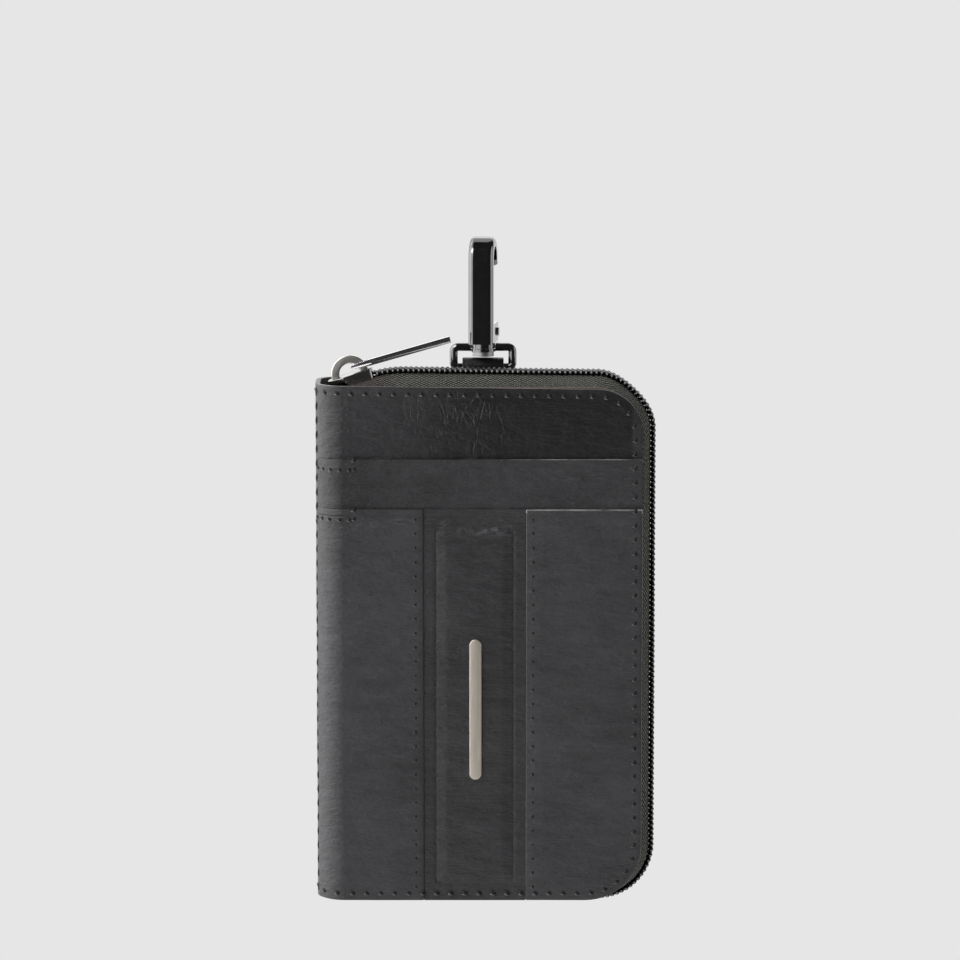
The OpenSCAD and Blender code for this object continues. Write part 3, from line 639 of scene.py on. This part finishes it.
def pad_height(x, z):
    """How far the filler lifts the leather at a place on the inset panel."""
    side_way = abs(x - PAD_X) - (PAD_HALF - PAD_ROUND)
    up_way = max(z - (PAD_TOP - PAD_ROUND), (PAD_LOW + PAD_ROUND) - z)
    reach = math.hypot(max(side_way, 0), max(up_way, 0)) + min(max(side_way, up_way), 0) - PAD_ROUND
    share = eased((0.3 - reach) / SHOULDER)
    groove = math.exp(-(((reach - LINE_OUT) / 0.3) ** 2)) * GROOVE
    crown = PAD_CROWN * (1 - ((x - PAD_X) / PAD_HALF) ** 2)
    below = PAD_TOP - z
    line = below - WRINKLE_BELOW - 0.30 * math.sin(x * 0.9 + 0.6) - 0.12 * math.sin(x * 2.6)
    stronger = min(max((x + 6.0) / 5.0, 0.15), 1.0)
    ridge = math.exp(-((line / WRINKLE_WIDE) ** 2)) * (WRINKLE + 0.05 * math.sin(x * 3.1)) * stronger
    dent = math.exp(-((below - DENT_BELOW) ** 2)) * DENT
    inward = min(max((PAD_HALF - abs(x - PAD_X)) / 2.5, 0.0), 1.0)
    return PAD_RISE * share + crown * share - groove + (ridge - dent) * inward


inset_calf = mouth_leather("inset_calf", (0.0430, 0.0410, 0.0440), LOWER_MOUTH, 0.38, pad_marks)
alone()
bpy.ops.mesh.primitive_grid_add(x_subdivisions=76, y_subdivisions=220, size=1, location=(0, 0, 0))
inset_panel = bpy.context.object
inset_panel.name = inset_panel.data.name = "inset_panel"
inset_panel.data.materials.append(inset_calf)
inset_panel.data.materials.append(plain_paint)
for vertex in inset_panel.data.vertices:
    x = INSET_LEFT + INSET_GAP + (vertex.co.x + 0.5) * (INSET_RIGHT - INSET_LEFT - 2 * INSET_GAP)
    z = POCKET_LOW + (vertex.co.y + 0.5) * (LOWER_MOUTH - POCKET_LOW)
    vertex.co = to_row(x, FACE + POCKET + INSET_SKIN + pad_height(x, z), z, -1)
if inset_panel.data.polygons[0].normal.y > 0:
    inset_panel.data.flip_normals()
apply_modifier(inset_panel, "SOLIDIFY", thickness=(INSET_SKIN - 0.03) * MM, offset=-1, material_offset_rim=1)
smooth(inset_panel, 45)
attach(inset_panel, "front_cover")
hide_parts("lower_pocket_centre", "pocket_pad")

# Plain bar on the pad.
# A slim bar of brushed metal with round ends is pressed into the leather on two hidden legs.
BAR_RADIUS, BAR_THICK, BAR_RUN = 1.3, 0.5, 14.1
BAR_X, BAR_Z = PAD_X + 0.25, -70.1
BAR_OUT = FACE + POCKET + INSET_SKIN + PAD_RISE + 0.32

bar_metal, tree = new_finish("bar_metal")
brushed = noise(tree, place_of(tree), 1400.0, 3.0, (6.0, 1.0, 0.12))
surface(
    tree,
    base_color=tint(tree, brushed, (0.62, 0.56, 0.48), (0.92, 0.84, 0.74)),
    metallic=1.0,
    roughness=brushed * 0.15 + 0.44,
    normal=bump(tree, brushed, 0.00003, 0.4),
)

alone()
bpy.ops.mesh.primitive_cylinder_add(
    vertices=48, radius=BAR_RADIUS * MM, depth=BAR_THICK * MM, location=(0, 0, 0)
)
bar = bpy.context.object
bar.name = bar.data.name = "plain_bar"
for vertex in bar.data.vertices:
    run = 0.0 if abs(vertex.co.y) < 1e-7 else math.copysign(BAR_RUN * MM, vertex.co.y)
    across, up = BAR_X * MM + vertex.co.x, BAR_Z * MM + vertex.co.y + run
    vertex.co = CASE + Vector((across, -BAR_OUT * MM - vertex.co.z, up))
turn_faces_out(bar)
round_edges(bar, 0.18, 4, 40)
smooth(bar, 40)
bar.data.materials.append(bar_metal)
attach(bar, "front_cover")

# Stitching.
# Waxed black thread runs round both covers about 2 mm inside the edge, along the spine's side,
# down both sides of the inset panel, and in short bar tacks that hold the pocket mouths.
SEAM_INSET = 1.8
# The step from stitch to stitch and where the first one is, by the way along the leather.
FRONT_STEP, FRONT_FIRST = 3.07, -39.4
BACK_STEP, BACK_FIRST = 3.08, -39.0
PANEL_STEP = 3.1
SIDE_SEAM = ROLL_X - ROLL * math.radians(72)
TACK_END, TACK_RISE = -27.6, -26.6
LIP_BELOW, LIP_ASIDE, LIP_LEAN = 0.36, 0.14, 0.35

thread, tree = new_finish("waxed_thread")
ply = noise(tree, place_of(tree), 2200.0, 1.0, (1.0, 1.0, 0.5))
surface(
    tree,
    base_color=tint(tree, ply, (0.002, 0.002, 0.002), (0.008, 0.008, 0.008)),
    roughness=0.6,
    normal=bump(tree, ply, 0.00006, 0.7),
)
# The lips' leather is ten times paler than the calf: a painted highlight on the lower side of each stitch
# hole.
lip_highlight_finish = leather("stitch_lips", (0.150, 0.146, 0.150), 0.24)


def strand(name, finish, radius, length, rise, sink):
    """A short round strand along x whose slim ends dive into the leather."""
    alone()
    bpy.ops.mesh.primitive_cylinder_add(
        vertices=10, radius=radius * MM, depth=length * MM, rotation=(0, math.pi / 2, 0)
    )
    bpy.ops.object.transform_apply(location=True, rotation=True, scale=True)
    piece = bpy.context.object
    piece.name = piece.data.name = name
    bpy.ops.object.mode_set(mode="EDIT")
    for share in (-0.82, -0.5, 0.0, 0.5, 0.82):
        bpy.ops.mesh.select_all(action="SELECT")
        bpy.ops.mesh.bisect(plane_co=(share * length / 2 * MM, 0, 0), plane_no=(1, 0, 0))
    bpy.ops.object.mode_set(mode="OBJECT")
    for vertex in piece.data.vertices:
        share = abs(vertex.co.x) / (length / 2 * MM)
        slim = 1.0 - 0.45 * max(share - 0.5, 0) / 0.5
        vertex.co.y *= slim
        vertex.co.z = vertex.co.z * slim * 0.7 - sink * MM * share**2.2 + rise * MM
    smooth(piece, 60)
    piece.data.materials.append(finish)
    return piece


stitch = strand("stitch", thread, 0.34, 1.35, 0.03, 0.26)
lip = strand("stitch_lip", lip_highlight_finish, 0.14, 0.95, 0.05, 0.14)


def sew(name, line, length=1.0, slant=-0.5, size=1.0):
    """Copies of the stitch along a line of (place, way along, way out), joined to one piece.

    Each has a pressed lip of leather on its lower side."""
    made = []
    for place, along, out in line:
        out = out.normalized()
        along = (along - out * along.dot(out)).normalized()
        turned = along * math.cos(slant) + out.cross(along) * math.sin(slant)
        down = Vector((0, 0, -1))
        down = (down - out * down.dot(out)).normalized()
        flat = down.cross(out) * (-1 if out.y > 0 else 1)
        below = place + (down * LIP_BELOW + flat * LIP_ASIDE) * (MM * size)
        tilted = (flat - down * LIP_LEAN).normalized()
        for source, spot, way, stretch in ((stitch, place, turned, length), (lip, below, tilted, 1.0)):
            copy = source.copy()
            copy.data = source.data.copy()
            scene.collection.objects.link(copy)
            axes = Matrix((way, out.cross(way), out)).transposed().to_4x4()
            sizes = Matrix.Diagonal((stretch * size, size, size, 1))
            copy.data.transform(Matrix.Translation(spot) @ axes @ sizes)
            made.append(copy)
    alone(made[0])
    for copy in made:
        copy.select_set(True)
    bpy.ops.object.join()
    seam = bpy.context.object
    seam.name = seam.data.name = name
    return seam


def skin_place(along, z, side, out=0.0):
    x, y, way = on_skin(along, pared(along, out))
    return to_row(x, y, z, side), Vector((way[0], side * way[1], 0))


def edge_line(side, step, first):
    """Places of the seam round a cover: along the top, down the opening side, back below."""
    radius, low_radius = CUT_ROUND - SEAM_INSET, LOW_ROUND - SEAM_INSET
    low = CUT_LOW + SEAM_INSET
    right, low_right = CUT_RIGHT - CUT_ROUND, CUT_RIGHT - LOW_ROUND
    slope = TOP_FALL / (CUT_RIGHT - SPINE_MIDDLE)
    level = CUT_TOP - SEAM_INSET + 0.3
    top = level - slope * (right - SPINE_MIDDLE)

    def bend(x, z, radius, start):
        def rule(s):
            turn = start + s / radius
            return x + radius * math.sin(turn), z + radius * math.cos(turn)

        return radius * math.pi / 2, rule

    runs = (
        (right - first, lambda s: (first + s, level - slope * (first + s - SPINE_MIDDLE))),
        bend(right, top - radius, radius, 0.0),
        (top - low - radius - low_radius, lambda s: (CUT_RIGHT - SEAM_INSET, top - radius - s)),
        bend(low_right, low + low_radius, low_radius, math.pi / 2),
        (low_right - first, lambda s: (low_right - s, low)),
    )
    total = sum(length for length, _ in runs)
    count = round(total / step)

    def find(s):
        for length, rule in runs:
            if s <= length:
                return rule(s)
            s -= length
        return runs[-1][1](runs[-1][0])

    line = []
    for number in range(count + 1):
        s = total * number / count
        here, ahead = find(max(s - 0.3, 0)), find(min(s + 0.3, total))
        place, out = skin_place(*find(s), side)
        line.append((place, skin_place(*ahead, side)[0] - skin_place(*here, side)[0], out))
    return line


def straight_line(start, end, out, step):
    """Places between two (along, z) points on the front of the wrap."""
    length = math.dist(start, end)
    count = max(round(length / step), 1)
    line = []
    for number in range(count + 1):
        share = number / count
        at_point = [a + (b - a) * share for a, b in zip(start, end)]
        ahead = [p + (b - a) / length * 0.2 for p, a, b in zip(at_point, start, end)]
        place, way = skin_place(*at_point, -1, out)
        line.append((place, skin_place(*ahead, -1, out)[0] - place, way))
    return line


def lifted(line):
    """Stitches that run over a pocket sit on its face, one step higher for each layer."""
    made = []
    for place, along, out in line:
        z = (place.z - CASE.z) / MM
        x = (place.x - CASE.x) / MM
        layers = (z < UPPER_MOUTH) + (z < LOWER_MOUTH)
        if x < -WIDTH / 2 + 0.8:
            layers = 0
        turn = math.asin(min(max((ROLL_X - x) / ROLL, 0.0), 1.0))
        made.append((place + out * pared(ROLL_X - turn * ROLL, layers * POCKET) * MM, along, out))
    return made


tacks = []
for mouth, layers in ((UPPER_MOUTH, 1), (LOWER_MOUTH, 2)):
    face = layers * POCKET
    tacks += straight_line((SIDE_SEAM + 1.2, mouth - 2.2), (TACK_END, mouth - 2.2), face, 1.9)
    tacks += straight_line((TACK_RISE, mouth - 2.0), (TACK_RISE, mouth - 0.1), face, 1.6)
spine_line = straight_line((SIDE_SEAM, -1.5), (SIDE_SEAM, 1.5 - HEIGHT), 0.05, PANEL_STEP)
for seam, side in (
    (sew("front_edge_seam", lifted(edge_line(-1, FRONT_STEP, FRONT_FIRST))), -1),
    (sew("back_edge_seam", edge_line(1, BACK_STEP, BACK_FIRST)), 1),
    (sew("spine_side_seam", spine_line, length=1.7, slant=-0.1), -1),
    (sew("pocket_tacks", tacks, length=0.8), -1),
):
    fold_with_wrap(seam, side)

inset_lines = []
for x in (INSET_LEFT - 1.85, INSET_RIGHT + 1.5):
    inset_lines += straight_line((x, LOWER_MOUTH - 2.2), (x, CUT_LOW + 3.2), 2 * POCKET, PANEL_STEP)
inset_seam = sew("inset_panel_seams", inset_lines, size=0.68)
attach(inset_seam, "front_cover")
bpy.data.objects.remove(stitch)
bpy.data.objects.remove(lip)

# Zip tapes.
# Two strips of woven polyester, 0.5 mm thick, are sewn between board and lining and arch out
# to the chain. They dip towards the spine, where the slider rests.
COIL_OUT = 3.1
TOP_DROP, TOP_SLOPE, BEND_DROP, LOW_DROP = 0.45, 0.013, 0.8, 1.6
TILT = math.radians(18)
LEVEL_START, EASE_START = 19.0, 11.5
TAPE_THICK = 0.5
TAPE_MARGIN, TAPE_FOOT, TAPE_MID = 6.0, 0.9, 2.35
Y_MARGIN = 7.725
TAPE_START = 4.2
TAIL_DIP, TAIL_RUN = 1.7, 10.0
TAPE_ROWS, MARGIN_ROWS = 18, 3
ARCH_TURN = math.acos(0.06)
TWILL_PITCH, KNOT_WIDTH = 0.53, 1.3


def chain_drop(u):
    """How far the chain dips below its level run, at a distance from the spine."""
    if u >= LEVEL_START:
        return TOP_DROP + TOP_SLOPE * (u - LEVEL_START)
    if u >= EASE_START:
        return TOP_DROP + math.tan(TILT) * (LEVEL_START - u) ** 2 / (2 * (LEVEL_START - EASE_START))
    return TOP_DROP + math.tan(TILT) * ((LEVEL_START - EASE_START) / 2 + EASE_START - u)


def tail_drop(u):
    """The same along the bottom, where the tape's tail sinks to the spine."""
    return LOW_DROP + TAIL_DIP * max(1 - (u - TAPE_START) / TAIL_RUN, 0.0) ** 2


def chain_runs(start):
    """Lengths of the chain's line: top, top bend, opening side and lower bend."""
    quarter = math.pi / 2
    return (
        WIDTH - CORNER - start,
        (CORNER + COIL_OUT - TOP_DROP - BEND_DROP / 2) * quarter,
        HEIGHT - 2 * CORNER,
        (CORNER + COIL_OUT - LOW_DROP / 2) * quarter,
    )


def edge_place(s, start):
    """x, z, outward way and dip on the leather's edge, s mm along the chain's line."""
    runs = chain_runs(start)
    if s <= runs[0]:
        return -WIDTH / 2 + start + s, 0.0, (0.0, 1.0), chain_drop(start + s)
    s -= runs[0]
    if s <= runs[1]:
        turn = s / runs[1] * math.pi / 2
        way = (math.sin(turn), math.cos(turn))
        dip = chain_drop(WIDTH - CORNER) * (1 - s / runs[1]) + BEND_DROP * math.sin(2 * turn) ** 2
        return OPEN_X - CORNER + CORNER * way[0], CORNER * (way[1] - 1), way, dip
    s -= runs[1]
    if s <= runs[2]:
        return OPEN_X, -CORNER - s, (1.0, 0.0), 0.0
    s -= runs[2]
    if s <= runs[3]:
        turn = s / runs[3] * math.pi / 2
        way = (math.cos(turn), -math.sin(turn))
        dip = LOW_DROP * s / runs[3]
        return OPEN_X - CORNER + CORNER * way[0], CORNER - HEIGHT + CORNER * way[1], way, dip
    s -= runs[3]
    x = OPEN_X - CORNER - s
    return x, -HEIGHT, (0.0, -1.0), tail_drop(x + WIDTH / 2)


def edge_length(start, end):
    return sum(chain_runs(start)) + WIDTH - CORNER - end


TAPE_LENGTH = edge_length(TAPE_START, TAPE_START)
TAPE_WIDTH = TAPE_MARGIN + 9.6


def wave_of(value, pitch):
    return (value * (2 * math.pi / pitch)).maths("SINE")


def woven_tape(name, tone):
    """Twill: fine threads across and along, with light and dark floats, on the tape's own map."""
    finish, tree = new_finish(name)
    mapped = add_node(tree, "ShaderNodeTexCoord", (), (), 2)
    along = mapped.part(0) * TAPE_LENGTH
    across = mapped.part(1) * TAPE_WIDTH
    fuzz = noise(tree, place_of(tree), 1500.0, 3.0)
    ribs = wave_of(along + across * 0.42 + fuzz * 0.12, TWILL_PITCH)
    knots = wave_of(along, 2 * TWILL_PITCH) * wave_of(across, KNOT_WIDTH)
    floats = (ribs * 0.25 + knots * 0.75) * 0.5 + 0.5
    share = floats.above(0.56, 0.3) * 0.95 + (fuzz - 0.5) * 0.7 + 0.05
    far = along.above(11.0, 8.0)
    near_cloth = tint(tree, share, (0.012, 0.010, 0.010), (0.170, 0.150, 0.140))
    far_cloth = tint(tree, share, scaled(tone, 0.30), scaled(tone, 3.9))
    cloth = add_node(tree, "ShaderNodeMix", {"data_type": "RGBA"}, {0: far, 6: near_cloth, 7: far_cloth}, 2)
    surface(
        tree,
        base_color=cloth,
        roughness=0.88,
        specular_ior_level=0.2,
        normal=bump(tree, floats + fuzz * 0.4, 0.0005),
    )
    return finish


tape_cloth = woven_tape("zip_tape_cloth", (0.062, 0.063, 0.056))


def zip_tape(name, side):
    """A grid laid along the case's edge: a flat margin inside, then an arch out to the chain."""
    alone()
    bpy.ops.mesh.primitive_grid_add(x_subdivisions=300, y_subdivisions=TAPE_ROWS, size=1, location=(0, 0, 0))
    tape = bpy.context.object
    tape.name = tape.data.name = name
    for vertex in tape.data.vertices:
        s = (vertex.co.x + 0.5) * TAPE_LENGTH
        x, z, way, dip = edge_place(s, TAPE_START)
        row = (vertex.co.y + 0.5) * TAPE_ROWS
        if row < MARGIN_ROWS:
            q, y = -TAPE_MARGIN + (TAPE_MARGIN - TAPE_FOOT) * row / MARGIN_ROWS, Y_MARGIN
        else:
            turn = ARCH_TURN * (row - MARGIN_ROWS) / (TAPE_ROWS - MARGIN_ROWS)
            q = (TAPE_MID - dip + TAPE_FOOT) * math.sin(turn) ** 2 - TAPE_FOOT
            y = Y_MARGIN * math.cos(turn)
        vertex.co = to_row(x + way[0] * q, y, z + way[1] * q, side)
    if side > 0:
        tape.data.flip_normals()
    apply_modifier(tape, "SOLIDIFY", thickness=TAPE_THICK * MM, offset=0)
    smooth(tape, 60)
    tape.data.materials.append(tape_cloth)
    return tape


HALVES = ((-1, "front_cover", "front"), (1, "case_back", "back"))
for side, body, half in HALVES:
    tape = zip_tape(half + "_tape_weave", side)
    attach(tape, body)
    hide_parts(half + "_tape")
    TAPE_LENGTH * MM

# Zip chain.
# Each row is one nylon wire wound in flat loops of 1.13 mm pitch round two cords and sewn to
# its tape; the heads of the two rows lock into each other. The outer bends are painted pale as a highlight.
PITCH = 1.13
WIRE = 0.31
LOOP_HALF = 0.24
LOOP_WIDE = 2.1
HEAD_RISE, SHANK_SINK = 0.12, 0.08
BEND_SWELL, SHANK_SLIM = 1.3, 0.93
MESH_DEPTH, MESH_SHARE = 0.2, 0.35
COIL_START, COIL_END = 11.6, 8.6
COIL_LENGTH = edge_length(COIL_START, COIL_END)
BEND_HIGHLIGHT_FROM = 2.38
# Each cord's place as a share of the loop's width, and its thickness against the wire's.
CORDS = ((0.66, 1.15), (0.25, 0.8))
# One loop, as shares of the pitch, of the width and of the half height.
LOOP_SHAPE = (
    (0.00, 0.00, -0.7), (0.00, -MESH_SHARE, 0.0), (0.02, 0.00, 0.7), (0.16, 0.35, 1.0),
    (0.42, 0.80, 0.8), (0.50, 1.00, 0.2), (0.50, 1.00, -0.2), (0.58, 0.80, -1.0), (0.84, 0.35, -1.0),
)

nylon, tree = new_finish("coil_nylon")
at = place_of(tree)
haze = noise(tree, at, 800.0, 2.0)
# Painted highlight: the nylon is made pale at the loops' outer bends.
painted_highlight = abs(at.part(1) - CASE.y).above(BEND_HIGHLIGHT_FROM * MM, 0.08 * MM)
surface(
    tree,
    base_color=tint(tree, haze * 0.04 + painted_highlight * 0.9, (0.007, 0.007, 0.008), (0.62, 0.62, 0.63)),
    roughness=haze * 0.10 + 0.24,
    specular_ior_level=0.4,
    normal=bump(tree, haze, 0.00003, 0.3),
)


def zip_coil(name, side, offset):
    """One row of the chain: a wire in loops, and the two cords that run through them."""
    turns = int(COIL_LENGTH / PITCH) - 1
    line = bpy.data.curves.new(name, "CURVE")
    line.dimensions = "3D"
    line.bevel_depth = WIRE * MM
    line.bevel_resolution = 1
    line.use_fill_caps = True
    wire = line.splines.new("POLY")
    wire.points.add(turns * len(LOOP_SHAPE) - 1)
    number = 0
    for turn in range(turns):
        for step, wide, up in LOOP_SHAPE:
            x, z, way, dip = edge_place((turn + step + offset) * PITCH, COIL_START)
            shift = HEAD_RISE if wide >= 0.8 else -SHANK_SINK if wide > 0 else 0.0
            q = COIL_OUT - dip + up * LOOP_HALF + shift
            y = wide * LOOP_WIDE if wide > 0 else -MESH_DEPTH * (1 - wide / MESH_SHARE) * 0.5
            wire.points[number].co = (*to_row(x + way[0] * q, y, z + way[1] * q, side), 1)
            wire.points[number].radius = BEND_SWELL if wide == 1 else SHANK_SLIM
            number += 1
    for share, radius in CORDS:
        steps = turns * 2
        cord = line.splines.new("POLY")
        cord.points.add(steps)
        for number in range(steps + 1):
            x, z, way, dip = edge_place((number / 2 + 0.5 + offset) * PITCH, COIL_START)
            q = COIL_OUT - dip + 0.05
            point = to_row(x + way[0] * q, LOOP_WIDE * share, z + way[1] * q, side)
            cord.points[number].co = (*point, 1)
            cord.points[number].radius = radius
    coil = bpy.data.objects.new(name, line)
    scene.collection.objects.link(coil)
    alone(coil)
    bpy.ops.object.convert(target="MESH")
    coil = bpy.context.object
    coil.name = coil.data.name = name
    smooth(coil, 80)
    coil.data.materials.clear()
    coil.data.materials.append(nylon)
    return coil


for side, body, half in HALVES:
    coil = zip_coil(half + "_coil_loops", side, 1.0 if side < 0 else 0.5)
    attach(coil, body)
    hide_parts(half + "_coil")

# Slider, its bail and the pull.
# The slider is cast zinc with a matte nickel plating, and so is its bail. The pull is a flat
# polished bar of darker plating, trapped under the bail, with its lower front half leaned back.
END_POINTS = 12
PULL_LEAN, PULL_FACE = 0.29, 0.2


def merged_copy(node, name):
    """A copy of a CAD node's mesh with its points merged and its flat faces made whole."""
    piece = nodes[node].copy()
    piece.data = nodes[node].data.copy()
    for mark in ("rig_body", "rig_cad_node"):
        del piece[mark]
    piece.parent = None
    piece.name = piece.data.name = name
    scene.collection.objects.link(piece)
    piece.data.materials.clear()
    alone(piece)
    bpy.ops.mesh.customdata_custom_splitnormals_clear()
    edit_all(piece)
    bpy.ops.mesh.remove_doubles(threshold=0.000002)
    bpy.ops.mesh.dissolve_limited(angle_limit=math.radians(0.6))
    bpy.ops.object.mode_set(mode="OBJECT")
    return piece


def dressed_copy(node, name, finish, width, segments, sharp, soft):
    """A merged copy with its edges rounded and its finish on."""
    piece = merged_copy(node, name)
    round_edges(piece, width, segments, sharp)
    smooth(piece, soft)
    piece.data.materials.append(finish)
    return piece


def plated(name, tone, gloss, depth=0.00002, spread=0.10):
    """Plated metal with the fine unevenness of casting and polishing."""
    finish, tree = new_finish(name)
    at = place_of(tree)
    cast = noise(tree, at, 700.0, 3.0)
    wear = noise(tree, at, 175.0, 2.0)
    surface(
        tree,
        base_color=tint(tree, wear, scaled(tone, 0.82), scaled(tone, 1.15)),
        metallic=1.0,
        roughness=cast * spread + gloss,
        normal=bump(tree, cast, depth, 0.35),
    )
    return finish


nickel = plated("matte_nickel", (0.66, 0.64, 0.61), 0.34, depth=0.00008)
# The slider's nickel is a darker, glossier copy of the bail's: the darker tone is painted shade.
slider_nickel_shaded = plated("slider_nickel_shaded", (0.44, 0.43, 0.42), 0.16, depth=0.00004)
dark_nickel = plated("dark_nickel", (0.74, 0.74, 0.76), 0.08)

slider = dressed_copy("zip_slider", "slider_body", slider_nickel_shaded, 0.16, 3, 35, 40)
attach(slider, "zip_slider")
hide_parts("zip_slider")

bail = dressed_copy("slider_bail", "bail_arch", nickel, 0.42, 4, 40, 50)
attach(bail, "zip_slider")
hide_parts("slider_bail")

pull = merged_copy("zip_pull", "pull_bar")


def middle_of(points):
    return sum((point.co for point in points), Vector()) / len(points)


by_x = sorted(pull.data.vertices, key=lambda point: point.co.x)
eye_end, free_end = middle_of(by_x[:END_POINTS]), middle_of(by_x[-END_POINTS:])
run = (free_end - eye_end).normalized()
rise = Vector((-run.z, 0, run.x))
middle = free_end - rise * 0.02 * MM
edit_all(pull)
bpy.ops.mesh.bisect(plane_co=middle, plane_no=rise)
bpy.ops.object.mode_set(mode="OBJECT")
front = min(vertex.co.y for vertex in pull.data.vertices)
for vertex in pull.data.vertices:
    under = (vertex.co - middle).dot(rise)
    if under < -0.1 * MM and vertex.co.y < front + PULL_FACE * MM:
        vertex.co.y -= under * PULL_LEAN
round_edges(pull, 0.12, 3, 30)
smooth(pull, 40)
pull.data.materials.append(dark_nickel)
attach(pull, "zip_pull")
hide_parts("zip_pull")

stop = dressed_copy("zip_end_stop", "end_stop", nickel, 0.3, 3, 40, 40)
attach(stop, "case_back")
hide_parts("zip_end_stop")

# Snap hook and swivel eye.
# Cast and polished dark-plated zinc; the gate is a separate lever on a pin, and the eye's
# boss turns on a rivet. The solids are used as they are, with a plated finish.
gun_metal = plated("polished_gun_metal", (0.215, 0.213, 0.218), 0.05, spread=0.06)
gate_metal = plated("gate_metal", (0.12, 0.12, 0.125), 0.12)
pin_metal = plated("pin_steel", (0.55, 0.55, 0.56), 0.16)
rivet_metal = plated("rivet_steel", (0.62, 0.62, 0.64), 0.42)


def put_finish(finish, *names):
    """Gives a finish to CAD nodes, whose meshes stay as they are."""
    for name in names:
        nodes[name].data.materials.clear()
        nodes[name].data.materials.append(finish)


put_finish(gun_metal, "hook_frame", "swivel_eye")
put_finish(gate_metal, "hook_gate")
put_finish(pin_metal, "gate_pin", "gate_spring")
put_finish(rivet_metal, "swivel_rivet")

# Hanging tab.
# A strip of the same calf is folded round the eye's lower bar; both ends are sewn in between
# the back cover and the zip tape.
tab_calf = leather("tab_calf", (0.014, 0.014, 0.015), 0.34)
tab = dressed_copy("hang_tab", "leather_tab", tab_calf, 0.3, 3, 40, 50)
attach(tab, "case_back")
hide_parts("hang_tab")

# Linings and boards.
# A thin brown-black cotton twill is glued over the boards inside and turned in under the
# tape. The boards are grey pressed fibre.
LINING_INSET = 1.2
LINING_ROUND = {"top_right": CORNER - LINING_INSET, "bottom_right": CORNER - LINING_INSET}
LINING_EDGES = (ROLL_X, OPEN_X - LINING_INSET, LINING_INSET - HEIGHT, -LINING_INSET)
LINING_UNDER, LINING_THICK = 2.35, 0.44

twill, tree = new_finish("lining_twill")
at = place_of(tree)
rib = wave_of(at.part(0) + at.part(2) * 0.8, 0.7 * MM) * 0.5 + 0.5
cross = wave_of(at.part(2) - at.part(0) * 0.3, 0.4 * MM) * 0.5 + 0.5
soft = noise(tree, at, 60.0, 3.0)
surface(
    tree,
    base_color=tint(
        tree, rib * 0.45 + cross * 0.2 + soft * 0.45, (0.030, 0.026, 0.023), (0.085, 0.076, 0.068)
    ),
    roughness=0.85,
    sheen_weight=0.2,
    normal=bump(tree, rib * 0.6 + cross * 0.4, 0.00012, 0.7),
)
for side, body, half in HALVES:
    lining = cut_leather(
        half + "_lining_cloth", (twill, twill), LINING_EDGES, LINING_ROUND, side, -LINING_UNDER,
        LINING_THICK, 0.12, step=6.0,
    )
    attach(lining, body)
    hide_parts(half + "_lining")

spine_cloth = dressed_copy("spine_lining", "spine_lining_cloth", twill, 0.1, 2, 60, 40)
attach(spine_cloth, "spine")
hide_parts("spine_lining")

fibre, tree = new_finish("board_fibre")
flecks = noise(tree, place_of(tree), 900.0, 4.0)
surface(
    tree,
    base_color=tint(tree, flecks, (0.10, 0.085, 0.07), (0.24, 0.20, 0.17)),
    roughness=0.9,
    normal=bump(tree, flecks, 0.00008, 0.5),
)
put_finish(fibre, "front_board", "back_board")

# Key plate, its rivets and the key hooks.
# A nickel-plated steel strip is riveted through the back's board; four stamped hooks swing on
# short pivot bars in its rolled barrels.
steel = plated("nickel_steel", (0.62, 0.61, 0.59), 0.18)
rivet_nickel = plated("rivet_nickel", (0.66, 0.65, 0.63), 0.12)
put_finish(steel, "key_plate", "key_hook_1", "key_hook_2", "key_hook_3", "key_hook_4")
put_finish(rivet_nickel, "key_rivets")
